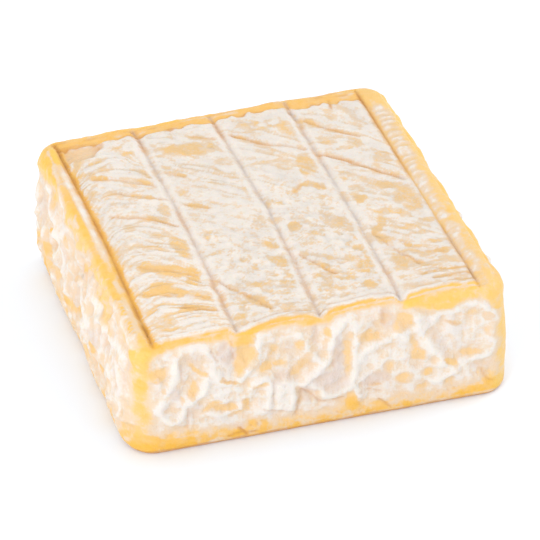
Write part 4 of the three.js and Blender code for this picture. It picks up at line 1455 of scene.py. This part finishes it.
@dataclass(frozen=True)
class RindFinish:
    """The rind's finish: yellow-orange rind under a broken white bloom, with dark creases, and painted shade
    and shadow mixed into its colour.
    """

    pale_rind: Colour = srgb(230, 194, 140)
    deep_rind: Colour = srgb(230, 176, 66)
    golden_rind: Colour = srgb(238, 204, 104)
    thin_bloom: Colour = srgb(223, 197, 165)
    thick_bloom: Colour = srgb(225, 218, 209)
    # these three colours also stand for painted shade and shadow
    hollow: Colour = srgb(206, 186, 176)
    crease: Colour = srgb(198, 135, 66)
    dull: Colour = srgb(170, 165, 160)
    bare_roughness: float = 0.42
    bloom_roughness: float = 0.7
    powder_scale: float = 1300.0  # the bloom's grains, in each metre
    mottle_scale: float = 480.0  # its coarser patches
    stroke_stretch: Place = (0.13, 1.0, 0.3)  # along a wrinkle and across it
    hair_stretch: Place = (0.3, 2.6, 1.0)
    thin_cover: tuple[float, float] = (0.1, 0.5)  # how much bloom begins to hide the rind, and hides it
    thick_cover: tuple[float, float] = (0.45, 0.9)
    hollow_strength: float = 0.7
    crease_strength: float = 0.85
    relief: float = 0.0005  # the height of the finest relief, in metres
    specular: float = 0.35
    depth_weight: float = 0.12  # how much light passes through the skin
    depth_radius: Colour = (1.0, 0.6, 0.3)
    depth_scale: float = 0.0015

    def material(self) -> bpy.types.Material:
        """Builds the node material.

        Returns:
            The material.
        """
        material = bpy.data.materials.new("rind")
        material.use_nodes = True
        board = NodeBoard(material)
        place = board.coordinates()
        grain = board.attribute("grain", "Vector")
        names = ("bloom", "ochre", "crease", "hollow", "strokes", "speckle", "dull", "golden")
        bloom, ochre, crease, hollow, strokes, speckle, dull, golden = map(board.attribute, names)

        powder = board.noise(place, self.powder_scale, detail=4.0)
        mottle = board.noise(place, self.mottle_scale, detail=5.0)
        stroke = board.noise(board.stretch(grain, self.stroke_stretch), scale=1.0, detail=2.0)
        hair = board.noise(board.stretch(grain, self.hair_stretch), scale=1.0, detail=2.0)
        lines = board.cosine(board.across(grain))
        broken = board.add(board.centred(powder, 1.3), board.centred(mottle, 1.8))
        drawn = board.centred(stroke, 2.2)
        drawn = board.add(drawn, board.add(board.centred(hair, 0.5), board.multiply(lines, 0.12)))
        cover = board.add(board.add(bloom, board.multiply(broken, speckle)), board.multiply(drawn, strokes))

        rind = board.mix(board.add(ochre, board.centred(mottle, 0.9)), self.pale_rind, self.deep_rind)
        rind = board.mix(golden, rind, self.golden_rind)
        thin = board.mix(board.ramp(cover, *self.thin_cover), rind, self.thin_bloom)
        thick = board.mix(board.ramp(cover, *self.thick_cover), thin, self.thick_bloom)
        # Painted shade and shadow are mixed in here: pinkish grey, grey and dark brown
        greyed = board.mix(board.multiply(hollow, self.hollow_strength), thick, self.hollow)
        worn_and_shaded = board.mix(dull, greyed, self.dull)
        colour = board.mix(board.multiply(crease, self.crease_strength), worn_and_shaded, self.crease)

        shader = board.shader
        board.link(colour, shader.inputs["Base Color"])
        rough = board.mix(board.ramp(cover, 0.2, 0.8), self.bare_roughness, self.bloom_roughness, "VALUE")
        board.link(rough, shader.inputs["Roughness"])
        height = board.add(board.multiply(powder, 0.4), board.multiply(mottle, 0.5))
        height = board.add(height, board.multiply(board.multiply(drawn, strokes), 0.6))
        board.link(board.bump(height, self.relief), shader.inputs["Normal"])
        shader.inputs["Specular IOR Level"].default_value = self.specular
        shader.inputs["Subsurface Weight"].default_value = self.depth_weight
        shader.inputs["Subsurface Radius"].default_value = self.depth_radius
        shader.inputs["Subsurface Scale"].default_value = self.depth_scale
        return material


class NodeBoard:
    """A material's node tree, with short ways to add the nodes that the finishes use."""

    def __init__(self, material: bpy.types.Material) -> None:
        """Takes over a material's node tree."""
        self.tree = material.node_tree
        self.shader = self.tree.nodes["Principled BSDF"]

    def node(self, kind: str) -> bpy.types.Node:
        """Adds a node of a kind."""
        return self.tree.nodes.new(kind)

    def link(self, source: bpy.types.NodeSocket, target: bpy.types.NodeSocket) -> None:
        """Links two sockets."""
        self.tree.links.new(source, target)

    def feed(self, value: bpy.types.NodeSocket | Colour | float, target: bpy.types.NodeSocket) -> None:
        """Feeds a socket.

        Args:
            value: A socket to link to it, or the number or colour to set.
            target: The socket to feed.
        """
        if isinstance(value, bpy.types.NodeSocket):
            self.link(value, target)
        elif isinstance(value, tuple) and target.type == "RGBA":
            target.default_value = (*value, 1.0)
        else:
            target.default_value = value

    def coordinates(self) -> bpy.types.NodeSocket:
        """The place on the object, in metres."""
        return self.node("ShaderNodeTexCoord").outputs["Object"]

    def attribute(self, name: str, output: str = "Fac") -> bpy.types.NodeSocket:
        """Reads one of the mesh's attributes.

        Args:
            name: The attribute's name.
            output: The node's name for a number or for a vector.

        Returns:
            The attribute.
        """
        node = self.node("ShaderNodeAttribute")
        node.attribute_name = name
        return node.outputs[output]

    def stretch(self, vector: bpy.types.NodeSocket, scale: Place) -> bpy.types.NodeSocket:
        """Scales a place along each axis.

        Args:
            vector: The place.
            scale: What each coordinate is multiplied by.

        Returns:
            The scaled place.
        """
        node = self.node("ShaderNodeMapping")
        self.link(vector, node.inputs["Vector"])
        node.inputs["Scale"].default_value = scale
        return node.outputs["Vector"]

    def noise(self, vector: bpy.types.NodeSocket, scale: float, detail: float) -> bpy.types.NodeSocket:
        """Adds noise.

        Args:
            vector: The place to read it at.
            scale: How many lumps there are in one unit of length.
            detail: How many finer layers it has.

        Returns:
            The noise, from 0 to 1.
        """
        node = self.node("ShaderNodeTexNoise")
        self.link(vector, node.inputs["Vector"])
        node.inputs["Scale"].default_value = scale
        node.inputs["Detail"].default_value = detail
        return node.outputs["Fac"]

    def work_out(self, operation: str, first: object, second: object) -> bpy.types.NodeSocket:
        """Works out a sum, a product or the like.

        Args:
            operation: The node's name for it.
            first: A socket or a number.
            second: A socket or a number.

        Returns:
            The result.
        """
        node = self.node("ShaderNodeMath")
        node.operation = operation
        self.feed(first, node.inputs[0])
        self.feed(second, node.inputs[1])
        return node.outputs["Value"]

    def add(self, first: object, second: object) -> bpy.types.NodeSocket:
        """The sum of two values."""
        return self.work_out("ADD", first, second)

    def multiply(self, first: object, second: object) -> bpy.types.NodeSocket:
        """The product of two values."""
        return self.work_out("MULTIPLY", first, second)

    def across(self, grain: bpy.types.NodeSocket) -> bpy.types.NodeSocket:
        """How many wrinkles lie between a point and the first one.

        Args:
            grain: The point's place along and across the wrinkles.

        Returns:
            The number.
        """
        node = self.node("ShaderNodeSeparateXYZ")
        self.link(grain, node.inputs["Vector"])
        return node.outputs["Y"]

    def cosine(self, turns: bpy.types.NodeSocket) -> bpy.types.NodeSocket:
        """A wave from -1 to 1, once a turn."""
        return self.work_out("COSINE", self.multiply(turns, math.tau), 0.0)

    def centred(self, value: bpy.types.NodeSocket, strength: float) -> bpy.types.NodeSocket:
        """Noise moved to lie around 0, and scaled."""
        return self.multiply(self.work_out("SUBTRACT", value, 0.5), strength)

    def ramp(self, value: bpy.types.NodeSocket, low: float, high: float) -> bpy.types.NodeSocket:
        """A smooth step.

        Args:
            value: What the step depends on.
            low: Where it is still 0.
            high: Where it is 1.

        Returns:
            The step.
        """
        node = self.node("ShaderNodeMapRange")
        node.interpolation_type = "SMOOTHSTEP"
        self.link(value, node.inputs["Value"])
        node.inputs["From Min"].default_value = low
        node.inputs["From Max"].default_value = high
        return node.outputs["Result"]

    def mix(self, share: object, low: object, high: object, kind: str = "RGBA") -> bpy.types.NodeSocket:
        """A colour or a number between two.

        Args:
            share: How much of the second one counts.
            low: The first one.
            high: The second one.
            kind: RGBA for colours, or VALUE for numbers.

        Returns:
            The colour or the number.
        """
        node = self.node("ShaderNodeMix")
        node.data_type = "RGBA" if kind == "RGBA" else "FLOAT"
        first, second = [socket for socket in node.inputs if socket.type == kind][-2:]
        self.feed(share, node.inputs["Factor"])
        self.feed(low, first)
        self.feed(high, second)
        return next(socket for socket in node.outputs if socket.type == kind)

    def bump(self, height: bpy.types.NodeSocket, distance: float) -> bpy.types.NodeSocket:
        """A normal that follows a height.

        Args:
            height: The height, as a share of the distance.
            distance: The greatest height, in metres.

        Returns:
            The normal.
        """
        node = self.node("ShaderNodeBump")
        self.link(height, node.inputs["Height"])
        node.inputs["Distance"].default_value = distance
        return node.outputs["Normal"]


@dataclass(frozen=True)
class Cheese:
    """The whole cheese: one closed skin, made from a finely divided block."""

    slab: Slab
    top: Top
    faces: tuple[SideFace, ...]
    finish: RindFinish
    columns: int = 180
    rows: int = 240
    layers: int = 66
    mark_columns: tuple[int, ...] = (8, 49, 90, 127, 166)  # the grid lines that follow the five pressed lines
    base_cells: int = 20  # how often the underside is divided each way
    tints: tuple[str, ...] = ("bloom", "ochre", "golden", "crease", "hollow", "dull", "strokes", "speckle")
    merge_distance: float = 1e-6  # in metres

    def block(self) -> bpy.types.Mesh:
        """Makes a block without a base, finely divided on all its faces.

        Returns:
            Its mesh, one unit wide each way and centred on the origin.
        """
        bm = bmesh.new()
        bmesh.ops.create_cube(bm, size=1.0)
        below = [face for face in bm.faces if face.normal.z < -0.5]
        bmesh.ops.delete(bm, geom=below, context="FACES_ONLY")
        for axis, cells in ((2, self.layers), (1, self.rows), (0, self.columns)):
            edges = [e for e in bm.edges if abs((e.verts[0].co - e.verts[1].co)[axis]) > 0.5]
            bmesh.ops.subdivide_edges(bm, edges=edges, cuts=cells - 1)
        mesh = bpy.data.meshes.new("cheese_rind")
        bm.to_mesh(mesh)
        bm.free()
        return mesh

    def spread(self, unit: Array) -> Array:
        """Spreads the divided block over the slab, with grid lines along the pressed lines.

        Args:
            unit: The unit block's vertices, in rows.

        Returns:
            Points of the plain slab's skin, in rows.
        """
        slab = self.slab
        y = unit[:, 1] * slab.depth
        z = (unit[:, 2] + 0.5) * (slab.height + slab.base_trim) - slab.base_trim
        column = (unit[:, 0] + 0.5) * self.columns
        knots = [0, *self.mark_columns, self.columns]
        level = np.full(len(y), slab.height)
        places = [np.full(len(y), -slab.width / 2)]
        for line in self.top.lines:
            x = line.at(y, slab.depth)
            places.append(x - slab.out_of_square(np.column_stack([x, y, level]))[:, 0])
        places.append(np.full(len(y), slab.width / 2))
        x = np.zeros(len(y))
        for low, high, start, end in zip(knots[:-1], knots[1:], places[:-1], places[1:]):
            inside = (column >= low - 0.01) & (column <= high + 0.01)
            share = (column - low) / (high - low)
            x = np.where(inside, start + (end - start) * share, x)
        return np.column_stack([x, y, z])

    def skin(self, place: Array, normal: Array) -> Skin:
        """The skin all over: the top's turns into that of the two nearest sides over the edges.

        Args:
            place: Points of the slab's skin, in rows.
            normal: The slab's normals there.

        Returns:
            The skin at the points.
        """
        skin = Skin.plain(len(place))
        turn = np.arcsin(np.clip(normal[:, 2], 0, 1))
        height = place[:, 2] + self.slab.top_edge_radius * (turn - np.sin(turn))  # measured along the skin
        aside = np.maximum((normal[:, :2] ** 2).sum(axis=1), 1e-12)
        facing = [normal[:, :2] @ face.side.facing for face in self.faces]
        shares = [np.where(towards > 0, towards**2 / aside, 0) for towards in facing]
        fade_from = sum(share * face.over[0] for share, face in zip(shares, self.faces))
        fade_to = sum(share * face.over[1] for share, face in zip(shares, self.faces))
        fading = (turn - fade_from) / (fade_to - fade_from + 1e-9)
        flatness = np.where(normal[:, 2] > 0.9999, 1.0, ramp(fading, 0, 1))
        under = 1 - np.clip(-normal[:, 2], 0, None)
        chosen = flatness > 0
        skin.add(self.top.skin(place[chosen, 0], place[chosen, 1]), flatness[chosen], chosen)
        for face, share in zip(self.faces, shares):
            share = share * (1 - flatness)
            chosen = share > 0
            made = face.skin(place[chosen, :2] @ face.side.rightwards, height[chosen])
            made.rise *= under[chosen]
            skin.add(made, share[chosen], chosen)
        skin.strokes *= ramp(skin.owned, 0.5, 0.8)
        return skin

    def underside(self, x: Array, y: Array) -> Skin:
        """The skin of the flat underside: patchy bloom, as on the top.

        Args:
            x: Where the points lie, in the slab's frame.
            y: The same, from front to back.

        Returns:
            The skin at the points.
        """
        noise = self.top.noise
        skin = Skin.plain(len(x))
        patches, streaks = noise.rough(x / 12, y / 12 + 300), noise.rough(x / 9 + 330, y / 6)
        from_edge = np.minimum(self.slab.width / 2 - np.abs(x), self.slab.depth / 2 - np.abs(y))
        near_edge = 1 - ramp(from_edge, 4, 14)
        skin.bloom = 0.62 + 0.45 * patches + 0.25 * streaks - 0.25 * near_edge
        skin.ochre = 0.35 - 0.25 * patches + 0.3 * near_edge
        skin.crease = 0.3 * near_edge
        skin.hollow, skin.speckle = np.full(len(x), 0.15), np.full(len(x), 0.8)
        skin.strokes = 0.4 * ramp(from_edge, 6, 12)
        skin.grain_x, skin.grain_y = x, y / 2.3
        return skin

    def dress_base(self, bm: bmesh.types.BMesh, base: list[bmesh.types.BMFace]) -> None:
        """Divides the flat base and gives its inner vertices the underside's skin.

        Args:
            bm: The whole skin.
            base: The base's one face, in a list.
        """
        for axis, length in ((0, self.slab.width), (1, self.slab.depth)):
            for number in range(1, self.base_cells):
                place = [0.0, 0.0, 0.0]
                place[axis] = (length * (number / self.base_cells - 0.5) + CENTRING[axis]) * MM
                normal = [float(index == axis) for index in range(3)]
                geom = {part for face in base for part in (face, *face.edges, *face.verts)}
                cut = bmesh.ops.bisect_plane(
                    bm, geom=list(geom), plane_co=place, plane_no=normal, dist=self.merge_distance
                )
                base = [part for part in cut["geom"] if isinstance(part, bmesh.types.BMFace)]
        flat = set(base)
        inner = [vertex for vertex in bm.verts if set(vertex.link_faces) <= flat]
        for vertex in {vertex for face in base for vertex in face.verts}.difference(inner):
            vertex[bm.verts.layers.float["strokes"]] = 0.0  # the strokes' run changes at the base's edge
        x, y, _ = np.array([vertex.co for vertex in inner]).T / MM - np.array(CENTRING)[:, None]
        skin = self.underside(x, y)
        for name in self.tints:
            layer = bm.verts.layers.float[name]
            for vertex, value in zip(inner, np.clip(getattr(skin, name), 0, 1)):
                vertex[layer] = value
        layer = bm.verts.layers.float_vector["grain"]
        for vertex, along, across in zip(inner, skin.grain_x, skin.grain_y):
            vertex[layer] = (along, across, 0.0)

    def close_base(self, mesh: bpy.types.Mesh) -> None:
        """Cuts the skin off flat at the base, and closes it there.

        Args:
            mesh: The cheese's mesh, which is changed.
        """
        bm = bmesh.new()
        bm.from_mesh(mesh)
        everything = [*bm.verts, *bm.edges, *bm.faces]
        level, up = (0, 0, 0), (0, 0, 1)
        bmesh.ops.bisect_plane(
            bm, geom=everything, plane_co=level, plane_no=up, clear_inner=True, dist=self.merge_distance
        )
        rim = [edge for edge in bm.edges if edge.is_boundary]
        base = bmesh.ops.holes_fill(bm, edges=rim, sides=0)["faces"]
        bmesh.ops.recalc_face_normals(bm, faces=bm.faces)
        self.dress_base(bm, base)
        for face in bm.faces:
            face.smooth = any(vertex.co.z > self.merge_distance for vertex in face.verts)
        bm.to_mesh(mesh)
        bm.free()

    def build(self) -> bpy.types.Object:
        """Makes the cheese.

        Returns:
            Its object, with its place in its mesh.
        """
        mesh = self.block()
        unit = np.zeros(len(mesh.vertices) * 3)
        mesh.vertices.foreach_get("co", unit)
        place, normal = self.slab.rounded(self.spread(unit.reshape(-1, 3)))
        place = place + self.slab.out_of_square(place)
        skin = self.skin(place, normal)
        place = (place + normal * skin.rise[:, None] + np.array(CENTRING)) * MM
        mesh.vertices.foreach_set("co", place.ravel())
        for name in self.tints:
            attribute = mesh.attributes.new(name, "FLOAT", "POINT")
            attribute.data.foreach_set("value", np.clip(getattr(skin, name), 0, 1).astype(np.float32))
        grain = np.column_stack([skin.grain_x, skin.grain_y, np.zeros(len(place))])
        attribute = mesh.attributes.new("grain", "FLOAT_VECTOR", "POINT")
        attribute.data.foreach_set("vector", grain.ravel().astype(np.float32))
        mesh.update()
        self.close_base(mesh)
        mesh.materials.append(self.finish.material())
        piece = bpy.data.objects.new("cheese_rind", mesh)
        bpy.context.scene.collection.objects.link(piece)
        log.info("cheese_rind: %d vertices, %d faces", len(mesh.vertices), len(mesh.polygons))
        return piece


@dataclass(frozen=True)
class Studio:
    """The plain pale floor, the soft light and the camera."""

    azimuth: float = 17.83
    elevation: float = 37.06
    distance: float = 0.7612
    target: Place = (0.50 * MM + CENTRING[0] * MM, -0.04 * MM + CENTRING[1] * MM, 17.1 * MM)
    lens: float = 173.33
    sensor_width: float = 36.0
    clip: tuple[float, float] = (0.05, 20.0)
    floor_size: float = 12.0
    floor_colour: Colour = (0.87, 0.925, 1.0)
    floor_roughness: float = 0.9
    sky: float = 1.07
    lamps: tuple = (("key", (-1.1, -0.9, 0.55), 0.6, 7.8), ("fill", (1.3, 0.3, 0.9), 0.8, 6.0))

    def camera(self) -> None:
        """Puts the camera where the photograph was taken from."""
        data = bpy.data.cameras.new("camera")
        data.lens = self.lens
        data.sensor_width = self.sensor_width
        data.clip_start, data.clip_end = self.clip
        camera = bpy.data.objects.new("camera", data)
        turn, tilt = math.radians(self.azimuth), math.radians(self.elevation)
        back = Vector((-math.sin(turn) * math.cos(tilt), -math.cos(turn) * math.cos(tilt), math.sin(tilt)))
        camera.location = Vector(self.target) + self.distance * back
        camera.rotation_euler = (-back).to_track_quat("-Z", "Y").to_euler()
        bpy.context.scene.collection.objects.link(camera)
        bpy.context.scene.camera = camera

    def floor(self) -> None:
        """Lays the white floor."""
        bm = bmesh.new()
        bmesh.ops.create_grid(bm, x_segments=1, y_segments=1, size=self.floor_size / 2)
        mesh = bpy.data.meshes.new("floor")
        bm.to_mesh(mesh)
        bm.free()
        material = bpy.data.materials.new("floor_white")
        material.use_nodes = True
        shader = material.node_tree.nodes["Principled BSDF"]
        shader.inputs["Base Color"].default_value = (*self.floor_colour, 1.0)
        shader.inputs["Roughness"].default_value = self.floor_roughness
        shader.inputs["Specular IOR Level"].default_value = 0.0
        mesh.materials.append(material)
        floor = bpy.data.objects.new("floor", mesh)
        bpy.context.scene.collection.objects.link(floor)

    def lamp(self, name: str, place: Place, size: float, power: float) -> None:
        """Hangs a square soft lamp that shines at the cheese.

        Args:
            name: The lamp's name.
            place: Where it hangs, in metres.
            size: The length of its sides, in metres.
            power: Its power, in watts.
        """
        data = bpy.data.lights.new(name, "AREA")
        data.size = size
        data.energy = power
        lamp = bpy.data.objects.new(name, data)
        lamp.location = place
        lamp.rotation_euler = (Vector(self.target) - Vector(place)).to_track_quat("-Z", "Y").to_euler()
        bpy.context.scene.collection.objects.link(lamp)

    def light(self) -> None:
        """Lights the set: an even white sky and two soft lamps."""
        world = bpy.data.worlds.new("sky")
        world.use_nodes = True
        background = world.node_tree.nodes["Background"]
        background.inputs["Color"].default_value = (1.0, 1.0, 1.0, 1.0)
        background.inputs["Strength"].default_value = self.sky
        bpy.context.scene.world = world
        for lamp in self.lamps:
            self.lamp(*lamp)
        bpy.context.scene.view_settings.view_transform = "Standard"


def main() -> None:
    """Builds the studio and the cheese, and fits the cheese to the frame."""
    logging.basicConfig(level=logging.INFO, format="%(name)s: %(message)s")
    studio = Studio()
    studio.camera()
    studio.floor()
    studio.light()
    log.info("studio: camera, floor and lamps are in place")
    slab, noise, wander = Slab(), SoftNoise(seed=7), Wander()
    right = wander.make(slab.depth, seed=71)
    right_rubs, right_painted_shadows, right_stains = moved(23, 96, LEFT_RUBS, LEFT_PAINTED_SHADOWS, LEFT_STAINS)
    back = wander.make(slab.width, seed=127)
    back_rubs, back_painted_shadows, back_stains = moved(-37, 98, LEFT_RUBS, LEFT_PAINTED_SHADOWS, LEFT_STAINS)
    faces = (
        SideFace(
            Side.FRONT, slab.width, 0.5, FRONT_FOLDS, FRONT_RUBS, FRONT_GROOVES_AND_SHADOWS, FRONT_PAINTED_SHADOWS,
            FRONT_STAINS, FRONT_BAND, FRONT_BASE, noise,
            swell=((42, 0), (50, 0.8), (54.25, 1.0)), swell_level=20.0,
        ),
        SideFace(
            Side.RIGHT, slab.depth, 1.0, right, right_rubs, (), right_painted_shadows, right_stains, WAVY_BAND,
            WAVY_BASE, noise,
            swell=((-52, 1.2), (-40, 0.6), (-20, 0.2), (0, 0)), swell_level=20.0, waver=0.6, glow=0.2,
            fold_share=0.85, slimness=0.95,
        ),
        SideFace(
            Side.BACK, slab.width, 0.5, back, back_rubs, (), back_painted_shadows, back_stains, WAVY_BAND, WAVY_BASE,
            noise, glow=0.2, fold_share=0.8, slimness=0.95,
        ),
        SideFace(
            Side.LEFT, slab.depth, 2.3, LEFT_FOLDS, LEFT_RUBS, (), LEFT_PAINTED_SHADOWS, LEFT_STAINS, LEFT_BAND,
            LEFT_BASE, noise, veins=LEFT_VEINS, over=(1.34, 1.5), fold_share=0.25, lumpiness=0.9,
            bloom_level=0.53, marbling=0.42, rim=0.9, glow=0.15,
            swell=(
                (-52, 0.2), (-36, 0.3), (-22, 0.8), (-10, 0.3), (0, -0.8), (6, -0.2), (12, 1.0), (20, 0.8),
                (28, -0.5), (34, 0.9), (42, 0.4), (52, 0),
            ),
        ),
    )
    piece = Cheese(slab, Top(slab, noise), faces, RindFinish()).build()
    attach(piece, "root")
    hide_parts("cheese")


if __name__ == "__main__":
    main()
